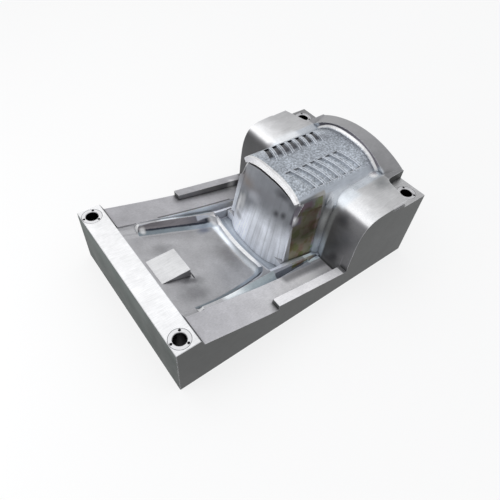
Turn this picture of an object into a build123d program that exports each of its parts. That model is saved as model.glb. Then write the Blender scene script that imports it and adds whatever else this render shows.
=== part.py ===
from build123d import *
from math import cos, radians, sin
import os

os.makedirs("parts", exist_ok=True)

# Core half of an injection mould for an armchair. X runs along the block from the locating bar to
# the back rim, Y across it, Z up out of the clamping face. Origin: centre of the clamping face.
# Places along the block are counted from its front end, widths from its middle plane.

# overall block
block_length = 1264.0
block_width = 800.0
half_width = block_width / 2
front_end = -block_length / 2
rear_end = block_length / 2
edge_break = 2.0

# how far cutting shapes run clear of the steel, and how far joined shapes run into each other
clear_height = 290.0
overcut = 10.0
overlap = 1.0

# locating bar across the front end
bar_length = 99.0
bar_height = 269.5
bar_step_length = 14.0

# sloping parting strips along both sides
strip_front_height = 235.0
strip_kink = 456.0
strip_kink_height = 146.0
strip_end = 838.0
strip_end_height = 70.0
strip_inner = 269.0

# raised ribs on the outer edge of the strips
rib_start = 460.0
rib_width = 42.0
rib_start_height = 172.0
rib_end_height = 104.0
rib_sunk_height = 90.0

# arm blocks
arm_wall_foot = 852.0
arm_foot_height = 60.0
arm_wall_top = 859.0
arm_wall_top_height = 240.0
arm_wall_middle_height = 150.0
arm_roll_reach = 73.0
arm_roll_rise = 142.0
arm_rear_height = 397.0
arm_rear_rise = 6.0
pad_length = 142.0
pad_bay = 24.0
pad_bay_width = 30.0
pad_height = 358.5
arm_rear = block_length - pad_length
arm_rear_inner = arm_rear + pad_bay
ledge_length = 78.0
ledge_width = 4.0
ledge_height = 374.0
pad_corner_radius = 28.0
gutter_width = arm_wall_foot - strip_end
gutter_floor = 40.0
gutter_inner = 238.0

# seat dish and the rails beside it
dish_end = 564.0
dish_end_bow = 14.0
dish_end_chord = 330.0
dish_overrun = 70.0
dish_fillet = 38.0
dish_corner_radius = 58.0
dish_front_height = 208.0
dish_rear_height = 77.0
dish_cut_height = 275.0
flank_front_half = 221.0
flank_front_foot = 40.0
flank_front_top_half = 254.0
flank_rear_half = 144.0
flank_rear_foot = 60.0
flank_rear_top_half = 341.0
flank_top = 280.0
rail_start = 182.0
rail_full = 202.0
rail_start_half = 238.0
rail_widens_half = 230.0
rail_end_half = 208.0
rail_end_height = 121.0
rail_top_width = 9.0
bead_height = 101.0
bead_length = 9.0
bead_lead = 12.0
bead_round = 6.0
groove_floor = 68.0
groove_fall = 26.0
groove_foot_rise = 10.0
groove_drop = 3.0
groove_end = 640.0

# ramps between the bar and the rails: heights at the seat, at two bends and at the strip
ramp_inner = 200.0
ramp_bends = (28.0, 9.0)
ramp_bar_heights = (208.5, 213.0, 221.0, 229.0)
ramp_rail_heights = (178.5, 184.0, 194.0, 206.0)
ramp_end_heights = (214.0, 213.9, 213.9, 214.0)

# square shut-off pad on the seat
seat_pad_start = 131.0
seat_pad_length = 130.0
seat_pad_width = 134.0
seat_pad_height = 196.0
seat_pad_foot = 60.0
relief_width = 13.0
relief_depth = 10.0
relief_seat_height = 147.0
relief_cut = 60.0

# channels outside the rails
channel_start = 200.0
channel_start_height = 212.0
channel_widens = 286.0
channel_widens_height = 190.0
channel_wall = 266.0
channel_start_fall = 2.0
channel_widens_fall = 5.0
channel_depth = 44.0
channel_end_half = 222.0
channel_end_wall = 238.0
channel_end_height = 76.0
channel_end_depth = 26.0
channel_end_flare = 3.0
pocket_start = 582.0
pocket_end = 786.0
pocket_inner = 229.0
pocket_floor = 44.0
pocket_taper = 22.0
pocket_cut = 200.0
pocket_radius = 7.0
side_groove_width = 9.0
side_groove_depth = 12.0
side_groove_front_height = 104.0
side_groove_rear_height = 70.0

# tall core and its front lip
core_foot_half = 201.0
core_foot_height = 60.0
core_rear_foot_half = 216.0
knee_front_half = 179.0
knee_front_height = 404.0
knee_rear_half = 235.0
knee_rear_height = 240.0
lip_length = 12.0
lip_drop = 31.0
lip_gap = 11.0
lip_gap_depth = 16.0
lip_end_half = 163.0
lip_end_height = 402.0
lip_gap_taper = 4.0
core_start = 709.0
rim_length = 101.0
core_rear = block_length - rim_length
arch_front_half = 176.0
arch_front_height = 470.0
arch_front_side = 416.0
arch_rear_half = 205.0
arch_rear_height = 459.0
arch_rear_side = 383.0
corner_radius = 27.0
corner_wall = 197.0
blend_depth = 9.0
blend_inside = 6.0
blend_top = 12.0
blend_end = 0.5
blend_cap_half = 232.0
blend_cap_front_height = 332.0
blend_cap_rear_height = 358.0
blend_cap_foot = 20.0

# front wall of the tall core: foot and top outlines, and the chamfered corners under the lip
wall_foot_start = 607.0
wall_foot_half = 186.0
wall_foot_bow = 49.0
wall_foot_flare_length = 8.0
wall_foot_flare = 24.0
wall_top_start = 707.0
wall_top_half = 160.0
wall_top_bow = 14.0
wall_top_flare_length = 27.0
wall_top_flare = 26.0
wall_back = 750.0
wall_front_limit = 590.0
wall_side_height = 375.0
corner_ledge = 326.0
corner_ledge_top = 403.0
corner_low_reach = 20.0
corner_low_inset = 2.0
corner_low_side = 3.0
corner_high_reach = 9.0
corner_high_inset = 33.0
corner_high_side = 29.0
corner_high_width = 9.0
corner_outer_half = 240.0
corner_front_reach = 79.0
corner_front_half = 205.0

# back rim
rim_inner_half = 235.0
rim_inner_edge = 394.0
rim_inner_crown = 486.0
rim_outer_half = 264.0
rim_outer_edge = 397.0
rim_outer_crown = 465.0
rim_foot_length = 14.0
rim_foot_rise = 12.0
rim_foot_sink = 2.0
rim_foot_half = 150.0
rim_foot_floor = 340.0
rim_pad_inset = 2.0

# vent slots over the back
slot_margin_front = 26.0
slot_margin_rear = 110.0
slot_length_x = 30.0
slot_rib = 15.0
slot_inner = 45.0
slot_outer = 155.0
slot_sweep = 50.0
slot_depth = 7.0
slot_cut_floor = 380.0
slot_cut_height = 130.0
slot_first = core_start + slot_margin_front
slot_pitch = slot_length_x + slot_rib
slot_count = int((core_rear - slot_margin_rear - slot_first) / slot_pitch)

# flanged guide bushes, each held by three cap screws
bush_bore = 50.0
bush_body = 58.0
bush_flange = 85.0
bush_flange_thickness = 15.0
bush_length = 110.0
bush_lead = 3.0
bush_edge = 0.6
bush_tail_edge = 1.0
bush_from_front = 44.0
bush_from_rear = 59.0
bush_front_from_side = 50.0
bush_rear_from_side = 57.0
bush_hole_through = 52.0
fit_body = 0.02
fit_flange = 0.25

screw_circle = 69.0
screw_thread = 6.0
screw_head = 10.0
screw_head_height = 6.0
screw_head_pocket = 11.0
screw_sink = 3.5
screw_clearance_hole = 6.6
screw_length = 22.0
screw_socket = 5.0
screw_socket_depth = 3.0
screw_end_gap = 3.0
screw_root = 0.02
screw_angles = (60, 180, 300)

# tapped fixing holes in the clamping face
fixing_hole = 24.0
fixing_hole_depth = 50.0
fixing_rows = 2
fixing_columns = 4
fixing_from_ends = 92.0
fixing_from_sides = 80.0
fixing_spacing_x = (block_length - 2 * fixing_from_ends) / (fixing_columns - 1)
fixing_spacing_y = (block_width - 2 * fixing_from_sides) / (fixing_rows - 1)

# shapes as shares of the sizes above: arch from crown to side, roll-off and rear run of the arms,
# fall of the seat, and bow of the front wall
arch_front_shape = [
    (0, 0), (0.4091, 0.0556), (0.6534, 0.2407), (0.8523, 0.5185), (0.9545, 0.7778), (1, 1)
]
arch_rear_shape = [
    (0, 0), (0.4049, 0.0921), (0.6439, 0.3026), (0.839, 0.6316), (0.9415, 0.8553), (1, 1)
]
arm_roll_shape = [(0.082, 0.352), (0.26, 0.648), (0.521, 0.852), (1, 1)]
arm_rear_shape = [(0.274, 0.533), (0.6, 0.733), (1, 1)]
dish_shape = [(0, 0), (0.06, 0.092), (0.189, 0.275), (0.303, 0.443), (0.45, 0.614), (0.6, 0.779),
              (0.75, 0.901), (0.869, 0.969), (1, 1)]
wall_shape = [(-1, 1), (-0.81, 0.45), (-0.55, 0.12), (0, 0), (0.55, 0.12), (0.81, 0.45), (1, 1)]


def at(distance):
    return front_end + distance


def arch_points(share, drop=0.0):
    # right half of the arch, front section to rear section, then mirrored to the left half
    front_fall = arch_front_height - arch_front_side
    rear_fall = arch_rear_height - arch_rear_side
    blend = []
    for front_point, rear_point in zip(arch_front_shape, arch_rear_shape):
        y_front = arch_front_half * front_point[0]
        y_rear = arch_rear_half * rear_point[0]
        z_front = arch_front_height - front_fall * front_point[1]
        z_rear = arch_rear_height - rear_fall * rear_point[1]
        y_here = y_front + (y_rear - y_front) * share
        z_here = z_front + (z_rear - z_front) * share - drop
        blend.append((y_here, z_here))
    left = [(-y_here, z_here) for y_here, z_here in blend[:0:-1]]
    return left + blend


def side_points(share, knee, foot_half, drop=0.0):
    # from the right end of the arch round under the core to its left end
    right = arch_points(share, drop)[-1]
    left = arch_points(share, drop)[0]
    return [
        right,
        (knee[0], knee[1] - drop),
        (foot_half, core_foot_height - drop),
        (-foot_half, core_foot_height - drop),
        (-knee[0], knee[1] - drop),
        left,
    ]


def wall_outline(start, half, bow):
    # bowed front line of the front wall, from its right end to its left end
    return [(at(start + bow * shift), half * across) for across, shift in wall_shape]


def ramp_outline(side, heights):
    # section of the ramp: seat, bend, bend, strip, then up and back clear of the steel
    inner_bend = strip_inner - ramp_bends[0]
    outer_bend = strip_inner - ramp_bends[1]
    return [
        (side * ramp_inner, heights[0]),
        (side * ramp_inner, clear_height),
        (side * strip_inner, clear_height),
        (side * strip_inner, heights[3]),
        (side * outer_bend, heights[2]),
        (side * inner_bend, heights[1]),
    ]


def channel_outline(side, rail_outer, rail_height, wall_height):
    # section of the channel: foot of the rail, up clear of the steel, and foot of the upright wall
    return [
        (side * rail_outer, rail_height),
        (side * rail_outer, clear_height),
        (side * strip_inner, clear_height),
        (side * channel_wall, wall_height),
    ]


# side view of the arms, from the foot of the wall over the roll-off to the rear end
arm_rear_reach = arm_rear - arm_wall_top - arm_roll_reach
arm_rear_climb = arm_rear_height - arm_wall_top_height - arm_roll_rise
arm_curve = [
    (arm_wall_foot, arm_foot_height),
    ((arm_wall_foot + arm_wall_top) / 2, arm_wall_middle_height),
    (arm_wall_top, arm_wall_top_height),
    *[
        (arm_wall_top + arm_roll_reach * reach, arm_wall_top_height + arm_roll_rise * rise)
        for reach, rise in arm_roll_shape
    ],
    *[
        (
            arm_wall_top + arm_roll_reach + arm_rear_reach * reach,
            arm_wall_top_height + arm_roll_rise + arm_rear_climb * rise,
        )
        for reach, rise in arm_rear_shape
    ],
    (block_length, arm_rear_height + arm_rear_rise),
]
dish_end_radius = (dish_end_chord**2 / 4 + dish_end_bow**2) / (2 * dish_end_bow)
dish_middle_end = dish_end - dish_end_bow
dish_end_centre = at(dish_middle_end) + dish_end_radius
dish_tool_end = dish_end + dish_overrun
dish_tool_length = dish_tool_end - bar_length
dish_fall = dish_front_height - dish_rear_height
bush_spots = [
    (front_end + bush_from_front, half_width - bush_front_from_side, bar_height),
    (front_end + bush_from_front, bush_front_from_side - half_width, bar_height),
    (rear_end - bush_from_rear, half_width - bush_rear_from_side, pad_height),
    (rear_end - bush_from_rear, bush_rear_from_side - half_width, pad_height),
]
screw_spots = [
    (
        spot[0] + screw_circle / 2 * cos(radians(angle)),
        spot[1] + screw_circle / 2 * sin(radians(angle)),
        spot[2],
    )
    for spot in bush_spots
    for angle in screw_angles
]
lip_end_right = (lip_end_half, lip_end_height)
lip_end_left = (-lip_end_half, lip_end_height)
gap_end_right = (lip_end_half - lip_gap_taper, lip_end_height - lip_gap)
gap_end_left = (lip_gap_taper - lip_end_half, lip_end_height - lip_gap)
knee_front = (knee_front_half, knee_front_height)
knee_rear = (knee_rear_half, knee_rear_height)
wall_side_share = (knee_front_height - wall_side_height) / (knee_front_height - core_foot_height)
wall_side_half = knee_front_half + (core_foot_half - knee_front_half) * wall_side_share


# cutting shape for the seat dish: sloping floor curve between two twisted flanks
with BuildPart() as dish_flanks:
    with BuildSketch(Plane.YZ.offset(at(bar_length - overcut / 2))):
        Polygon(
            (-flank_front_half, flank_front_foot),
            (flank_front_half, flank_front_foot),
            (flank_front_top_half, flank_top),
            (-flank_front_top_half, flank_top),
            align=None,
        )
    with BuildSketch(Plane.YZ.offset(at(dish_tool_end))):
        Polygon(
            (-flank_rear_half, flank_rear_foot),
            (flank_rear_half, flank_rear_foot),
            (flank_rear_top_half, flank_top),
            (-flank_rear_top_half, flank_top),
            align=None,
        )
    loft(ruled=True)

with BuildPart() as dish_tool:
    with BuildSketch(Plane.XZ):
        with BuildLine():
            Spline(
                *[
                    (at(bar_length + dish_tool_length * reach), dish_front_height - dish_fall * fall)
                    for reach, fall in dish_shape
                ]
            )
            Polyline(
                (at(dish_tool_end), dish_rear_height),
                (at(dish_tool_end), dish_cut_height),
                (at(bar_length), dish_cut_height),
                (at(bar_length), dish_front_height),
            )
        make_face()
    extrude(amount=half_width, both=True)
    add(dish_flanks.part, mode=Mode.INTERSECT)
    with Locations((dish_end_centre, 0, 0)):
        Cylinder(radius=dish_end_radius, height=2 * clear_height, mode=Mode.SUBTRACT)
    end_corners = dish_tool.edges().filter_by(
        lambda e: e.center().X > at(dish_middle_end)
        and abs(e.center().Y) > flank_rear_half
        and e.length > dish_corner_radius
        and abs(e.tangent_at(0.5).Z) > 0.3
    )
    fillet(end_corners, radius=dish_corner_radius)

with BuildPart() as dish_cutter:
    add(dish_tool.part)
    floor_edges = dish_cutter.edges().filter_by(
        lambda e: e.center().Z < ramp_rail_heights[0]
        and e.center().X > at(bar_length) + overcut / 2
        and e.bounding_box().size.Z < dish_fall + dish_fillet / 2
    )
    fillet(floor_edges, radius=dish_fillet)

# tall core and the arch over it, tapering towards the back rim
with BuildPart() as core_body:
    with BuildSketch(Plane.YZ.offset(at(core_start))):
        with BuildLine():
            Spline(*arch_points(0))
            Polyline(*side_points(0, knee_front, core_foot_half))
        make_face()
    with BuildSketch(Plane.YZ.offset(at(core_rear))):
        with BuildLine():
            Spline(*arch_points(1))
            Polyline(*side_points(1, knee_rear, core_rear_foot_half))
        make_face()
    loft(ruled=True)

# the same arch lowered to the floor of the vent slots
with BuildPart() as slot_floor:
    with BuildSketch(Plane.YZ.offset(at(core_start))):
        with BuildLine():
            Spline(*arch_points(0, slot_depth))
            Polyline(*side_points(0, knee_front, core_foot_half, slot_depth))
        make_face()
    with BuildSketch(Plane.YZ.offset(at(core_rear))):
        with BuildLine():
            Spline(*arch_points(1, slot_depth))
            Polyline(*side_points(1, knee_rear, core_rear_foot_half, slot_depth))
        make_face()
    loft(ruled=True)

with BuildPart() as slot_cutter:
    with BuildSketch(Plane.XY.offset(slot_cut_floor)):
        for index in range(slot_count):
            slot_x = at(slot_first + slot_pitch * index)
            for side in (-1, 1):
                Polygon(
                    (slot_x, side * slot_inner),
                    (slot_x + slot_length_x, side * slot_inner),
                    (slot_x + slot_length_x + slot_sweep, side * slot_outer),
                    (slot_x + slot_sweep, side * slot_outer),
                    align=None,
                )
    extrude(amount=slot_cut_height)
    add(slot_floor.part, mode=Mode.SUBTRACT)

# leaning front wall of the tall core, bowed in plan, with flared side edges; its top follows the
# arch below the lip and its sides run on in the planes of the core sides
with BuildPart() as front_wall:
    for height, start, half, bow, flare_length, flare in (
        (core_foot_height, wall_foot_start, wall_foot_half, wall_foot_bow,
         wall_foot_flare_length, wall_foot_flare),
        (arch_front_height, wall_top_start, wall_top_half, wall_top_bow,
         wall_top_flare_length, wall_top_flare),
    ):
        front_line = wall_outline(start, half, bow)
        flare_start = at(start + bow - flare_length)
        with BuildSketch(Plane.XY.offset(height)):
            with BuildLine():
                Line((flare_start, -half - flare), front_line[0])
                Spline(*front_line)
                Polyline(
                    front_line[-1],
                    (flare_start, half + flare),
                    (at(wall_back), half + flare),
                    (at(wall_back), -half - flare),
                    (flare_start, -half - flare),
                )
            make_face()
    loft(ruled=True)
    with BuildSketch(Plane.YZ.offset(at(wall_front_limit))):
        with BuildLine():
            Spline(*arch_points(0, lip_drop + lip_gap))
            Polyline(
                arch_points(0, lip_drop + lip_gap)[-1],
                (wall_side_half, wall_side_height),
                (core_foot_half, core_foot_height),
                (-core_foot_half, core_foot_height),
                (-wall_side_half, wall_side_height),
                arch_points(0, lip_drop + lip_gap)[0],
            )
        make_face()
    extrude(amount=core_start + overlap - wall_front_limit, mode=Mode.INTERSECT)

# chamfer that takes off the upper front corners of the core under the lip
with BuildPart() as corner_chamfer:
    for side in (-1, 1):
        with BuildSketch(Plane.XY.offset(corner_ledge)):
            Polygon(
                (at(core_start - corner_low_reach), side * (arch_front_half - corner_low_inset)),
                (at(core_start - corner_low_side), side * corner_wall),
                (at(core_start - corner_low_reach + overlap), side * corner_outer_half),
                (at(core_start - corner_front_reach), side * corner_front_half),
                align=None,
            )
        with BuildSketch(Plane.XY.offset(corner_ledge_top)):
            Polygon(
                (at(core_start - corner_high_reach), side * (arch_front_half - corner_high_inset)),
                (at(core_start + corner_high_side), side * (arch_front_half + corner_high_width)),
                (at(core_start - corner_high_reach), side * corner_outer_half),
                (at(core_start - corner_front_reach), side * corner_front_half),
                align=None,
            )
        loft(ruled=True)

# lip over the front wall, and the narrow gap under it
with BuildPart() as front_lip:
    with BuildSketch(Plane.YZ.offset(at(core_start - lip_length))):
        with BuildLine():
            Spline(*arch_points(0))
            Line(arch_points(0)[-1], lip_end_right)
            Spline(lip_end_left, *arch_points(0, lip_drop)[2:-2], lip_end_right)
            Line(lip_end_left, arch_points(0)[0])
        make_face()
    extrude(amount=lip_length)

with BuildPart() as gap_cutter:
    with BuildSketch(Plane.YZ.offset(at(core_start - lip_length))):
        with BuildLine():
            Spline(lip_end_left, *arch_points(0, lip_drop)[2:-2], lip_end_right)
            Line(lip_end_right, gap_end_right)
            Spline(gap_end_left, *arch_points(0, lip_drop + lip_gap)[2:-2], gap_end_right)
            Line(gap_end_left, lip_end_left)
        make_face()
    extrude(amount=lip_length + lip_gap_depth)

# profile of the bead and of the groove behind it, carried round the same arc as the end of the dish
with BuildPart() as groove_cutter:
    bead_start = at(dish_middle_end - bead_lead)
    bead_end = at(dish_middle_end + bead_length)
    with BuildSketch(Plane.XZ):
        with BuildLine():
            Polyline((bead_start, clear_height), (bead_start, bead_height), (bead_end, bead_height))
            Spline(
                (bead_end, bead_height),
                (bead_end + bead_round, groove_floor + groove_foot_rise),
                (bead_end + groove_fall, groove_floor),
                (at(groove_end), groove_floor - groove_drop),
                tangents=((0.1, -1), (1, -0.05)),
            )
            Polyline(
                (at(groove_end), groove_floor - groove_drop),
                (at(groove_end), clear_height),
                (bead_start, clear_height),
            )
        make_face()
    revolve(axis=Axis((dish_end_centre, 0, 0), (0, 0, 1)))
    with Locations((at(dish_end), 0, 0)):
        Box(
            2 * (groove_end - dish_end),
            2 * rail_end_half,
            2 * clear_height,
            mode=Mode.INTERSECT,
        )

# channel outside each rail: a V with one sloping flank and one upright wall, deeper towards the back
with BuildPart() as channel_cutter:
    for side in (-1, 1):
        start_section = channel_outline(
            side,
            rail_start_half + rail_top_width,
            channel_start_height,
            channel_start_height - channel_start_fall,
        )
        wide_section = channel_outline(
            side,
            rail_widens_half + rail_top_width,
            channel_widens_height,
            channel_widens_height - channel_widens_fall,
        )
        deep_section = channel_outline(
            side,
            rail_end_half + rail_top_width,
            rail_end_height,
            rail_end_height - channel_depth,
        )
        end_section = [
            (side * channel_end_half, channel_end_height),
            (side * channel_end_half, clear_height),
            (side * (channel_end_wall + channel_end_flare), clear_height),
            (side * channel_end_wall, channel_end_height - channel_end_depth),
        ]
        for first, first_section, second, second_section in (
            (channel_start, start_section, channel_widens, wide_section),
            (channel_widens, wide_section, pocket_start, deep_section),
            (pocket_start, deep_section, strip_end, end_section),
        ):
            with BuildSketch(Plane.YZ.offset(at(first))):
                Polygon(*first_section, align=None)
            with BuildSketch(Plane.YZ.offset(at(second))):
                Polygon(*second_section, align=None)
            loft(ruled=True)

# deeper straight-walled stretch of the channel
with BuildPart() as pocket_cutter:
    for side in (-1, 1):
        with BuildSketch(Plane.XY.offset(pocket_floor)):
            Polygon(
                (at(pocket_start), side * pocket_inner),
                (at(pocket_end), side * pocket_inner),
                (at(pocket_end), side * (strip_inner - pocket_taper)),
                (at(pocket_start), side * channel_wall),
                align=None,
            )
        extrude(amount=pocket_cut)
    fillet(pocket_cutter.edges().filter_by(Axis.Z), radius=pocket_radius)

# ramp that blends the seat into the strips ahead of the rails, ending in the raked rail ends
with BuildPart() as ramp_cutter:
    for side in (-1, 1):
        for first, first_heights, second, second_heights in (
            (bar_length, ramp_bar_heights, rail_start, ramp_rail_heights),
            (rail_start, ramp_rail_heights, rail_full, ramp_end_heights),
        ):
            with BuildSketch(Plane.YZ.offset(at(first))):
                Polygon(*ramp_outline(side, first_heights), align=None)
            with BuildSketch(Plane.YZ.offset(at(second))):
                Polygon(*ramp_outline(side, second_heights), align=None)
            loft(ruled=True)

# flank of the arch carried on outwards, which caps the inner corner blends
with BuildPart() as blend_cap:
    for distance, share, side_height in (
        (core_start, 0, blend_cap_front_height),
        (core_rear, 1, blend_cap_rear_height),
    ):
        with BuildSketch(Plane.YZ.offset(at(distance))):
            with BuildLine():
                Spline(*arch_points(share))
                Polyline(
                    arch_points(share)[-1],
                    (blend_cap_half, side_height),
                    (blend_cap_half, blend_cap_foot),
                    (-blend_cap_half, blend_cap_foot),
                    (-blend_cap_half, side_height),
                    arch_points(share)[0],
                )
            make_face()
    loft(ruled=True)

# concave blends in the upright corners between core and arms, running on over the arm tops
with BuildPart() as corner_blends:
    for side in (-1, 1):
        with BuildLine(Plane.XZ.offset(-side * corner_wall)) as blend_path:
            Line((at(arm_wall_foot), gutter_floor), (at(arm_wall_foot), arm_foot_height))
            Spline(*[(at(x_arm), z_arm) for x_arm, z_arm in arm_curve[:-1]])
        with BuildSketch(Plane(blend_path.line @ 0, x_dir=(0, side, 0), z_dir=(0, 0, 1))):
            with BuildLine():
                Polyline(
                    (corner_radius, -side * blend_end),
                    (corner_radius, -side * blend_inside),
                    (-blend_depth, -side * blend_inside),
                    (-blend_depth, side * (corner_radius + blend_top)),
                    (0, side * corner_radius),
                )
                RadiusArc(
                    (0, side * corner_radius),
                    (corner_radius, -side * blend_end),
                    side * corner_radius,
                )
            make_face()
        sweep(path=blend_path.line, transition=Transition.ROUND)
    add(blend_cap.part, mode=Mode.INTERSECT)


# one machined block: bar, strips, ribs, dish, rails, pad, tall core, arms and back rim
with BuildPart() as core_block:
    with BuildSketch(Plane.XZ):
        with BuildLine():
            Polyline(
                (at(arm_wall_foot), gutter_floor),
                (at(arm_wall_foot), 0),
                (front_end, 0),
                (front_end, bar_height),
                (at(bar_length), bar_height),
                (at(bar_length + bar_step_length), strip_front_height),
            )
            Spline(
                (at(bar_length + bar_step_length), strip_front_height),
                (at(strip_kink), strip_kink_height),
                (at(strip_end), strip_end_height),
                tangents=((1, -0.27), (1, -0.2)),
            )
            Line((at(strip_end), strip_end_height), (at(strip_end), gutter_floor))
            Line((at(strip_end), gutter_floor), (at(arm_wall_foot), gutter_floor))
        make_face()
    with BuildSketch(Plane.XZ):
        with BuildLine():
            Line((at(arm_wall_foot), 0), (at(arm_wall_foot), arm_foot_height))
            Spline(*[(at(x_arm), z_arm) for x_arm, z_arm in arm_curve])
            Polyline(
                (rear_end, arm_rear_height + arm_rear_rise),
                (rear_end, 0),
                (at(arm_wall_foot), 0),
            )
        make_face()
    extrude(amount=half_width, both=True)

    straight_edges = core_block.edges().filter_by(GeomType.LINE)
    broken_edges = straight_edges.filter_by(
        lambda e: abs(abs(e.center().X) - rear_end) < edge_break / 2
        or e.center().Z < edge_break / 2
        or abs(e.center().Z - bar_height) < edge_break / 2
    )
    chamfer(broken_edges, length=edge_break)

    # ribs on the outer edges of the strips, running into the arms
    for side in (-1, 1):
        with BuildSketch(Plane.XZ.offset(-side * (half_width - rib_width / 2))):
            Polygon(
                (at(rib_start), rib_sunk_height),
                (at(rib_start), rib_start_height),
                (at(arm_wall_foot + ledge_width), rib_end_height),
                (at(arm_wall_foot + ledge_width), gutter_floor),
                align=None,
            )
        extrude(amount=rib_width / 2, both=True)

    # gutter between strip and arm is closed again under the core
    with Locations((at(strip_end + gutter_width / 2), 0, strip_end_height / 2)):
        Box(gutter_width, 2 * gutter_inner, strip_end_height)

    # seat side
    add(dish_cutter.part, mode=Mode.SUBTRACT)
    add(ramp_cutter.part, mode=Mode.SUBTRACT)
    add(channel_cutter.part, mode=Mode.SUBTRACT)
    add(pocket_cutter.part, mode=Mode.SUBTRACT)

    # bead with the groove behind it, and the grooves along the foot of the core
    add(groove_cutter.part, mode=Mode.SUBTRACT)
    for side in (-1, 1):
        groove_middle = core_foot_half + side_groove_width / 2 - overlap
        with BuildSketch(Plane.XZ.offset(-side * groove_middle)):
            Polygon(
                (at(groove_end - overlap), side_groove_front_height),
                (at(groove_end - overlap), clear_height),
                (at(arm_wall_foot), clear_height),
                (at(arm_wall_foot), side_groove_rear_height - side_groove_depth),
                align=None,
            )
        extrude(amount=side_groove_width / 2 + overlap, both=True, mode=Mode.SUBTRACT)

    # shut-off pad with the relief at its back
    with Locations((at(seat_pad_start + seat_pad_length / 2), 0, seat_pad_foot)):
        Box(
            seat_pad_length,
            seat_pad_width,
            seat_pad_height - seat_pad_foot,
            align=(Align.CENTER, Align.CENTER, Align.MIN),
        )
    relief_middle = seat_pad_start + seat_pad_length + relief_width / 2
    with Locations((at(relief_middle), 0, relief_seat_height - relief_depth)):
        Box(
            relief_width,
            seat_pad_width + 2 * relief_width,
            relief_cut,
            align=(Align.CENTER, Align.CENTER, Align.MIN),
            mode=Mode.SUBTRACT,
        )

    # tall core between the arms
    add(core_body.part)
    add(corner_blends.part)
    add(front_wall.part)
    add(corner_chamfer.part, mode=Mode.SUBTRACT)
    add(front_lip.part)
    add(gap_cutter.part, mode=Mode.SUBTRACT)
    add(slot_cutter.part, mode=Mode.SUBTRACT)

    # back rim, widening and falling away towards the rear end
    for rim_x, half, edge, crown in (
        (at(core_rear), rim_inner_half, rim_inner_edge, rim_inner_crown),
        (rear_end, rim_outer_half, rim_outer_edge, rim_outer_crown),
    ):
        with BuildSketch(Plane.YZ.offset(rim_x)):
            with BuildLine():
                ThreePointArc((-half, edge), (0, crown), (half, edge))
                Polyline(
                    (half, edge),
                    (half, core_foot_height),
                    (-half, core_foot_height),
                    (-half, edge),
                )
            make_face()
    loft(ruled=True)

    # low corner pads that carry the rear bushes
    for side in (-1, 1):
        pad_inner = side * (rim_outer_half - rim_pad_inset)
        pad_outer = side * (half_width + overcut)
        with BuildSketch(Plane.XY.offset(pad_height)):
            with BuildLine():
                FilletPolyline(
                    (at(arm_rear) - rim_pad_inset, pad_outer),
                    (at(arm_rear_inner), side * (rim_outer_half + pad_bay_width)),
                    (at(arm_rear_inner + rim_foot_length / 2), pad_inner),
                    (rear_end + overcut, pad_inner),
                    radius=pad_corner_radius,
                )
                Polyline(
                    (rear_end + overcut, pad_inner),
                    (rear_end + overcut, pad_outer),
                    (at(arm_rear) - rim_pad_inset, pad_outer),
                )
            make_face()
        extrude(amount=pocket_cut, mode=Mode.SUBTRACT)

    # narrow ledge along the outer edge of each arm beside the pad
    for side in (-1, 1):
        with Locations((at(arm_rear - ledge_length / 2), side * half_width, ledge_height)):
            Box(
                ledge_length + ledge_width,
                2 * ledge_width,
                relief_cut,
                align=(Align.CENTER, Align.CENTER, Align.MIN),
                mode=Mode.SUBTRACT,
            )

    # sloping foot where the arch runs into the rim wall
    for distance, drop in (
        (core_rear - rim_foot_length, rim_foot_sink),
        (core_rear, -rim_foot_rise),
    ):
        with BuildSketch(Plane.YZ.offset(at(distance))):
            with BuildLine():
                Spline(*arch_points(1, drop))
                Polyline(
                    arch_points(1, drop)[-1],
                    (rim_foot_half, rim_foot_floor),
                    (-rim_foot_half, rim_foot_floor),
                    arch_points(1, drop)[0],
                )
            make_face()
    loft(ruled=True)

    # seats for the four guide bushes, open right through the block
    with Locations(*[Location(spot) for spot in bush_spots]):
        CounterBoreHole(
            radius=bush_body / 2 + fit_body,
            counter_bore_radius=bush_flange / 2 + fit_flange,
            counter_bore_depth=bush_flange_thickness,
            depth=bush_length,
        )
        Hole(radius=bush_hole_through / 2, depth=bar_height + pad_height)
    with Locations(*[Location(spot) for spot in screw_spots]):
        Hole(
            radius=screw_thread / 2 - screw_root,
            depth=screw_sink + screw_head_height + screw_length + screw_end_gap,
        )

    # tapped fixing holes in the clamping face
    with Locations((0, 0, 0)):
        with GridLocations(fixing_spacing_x, fixing_spacing_y, fixing_columns, fixing_rows):
            Cylinder(
                radius=fixing_hole / 2,
                height=fixing_hole_depth,
                align=(Align.CENTER, Align.CENTER, Align.MIN),
                mode=Mode.SUBTRACT,
            )

core_block.part.label = "core_block"
export_step(core_block.part, "parts/core_block.step")

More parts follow.
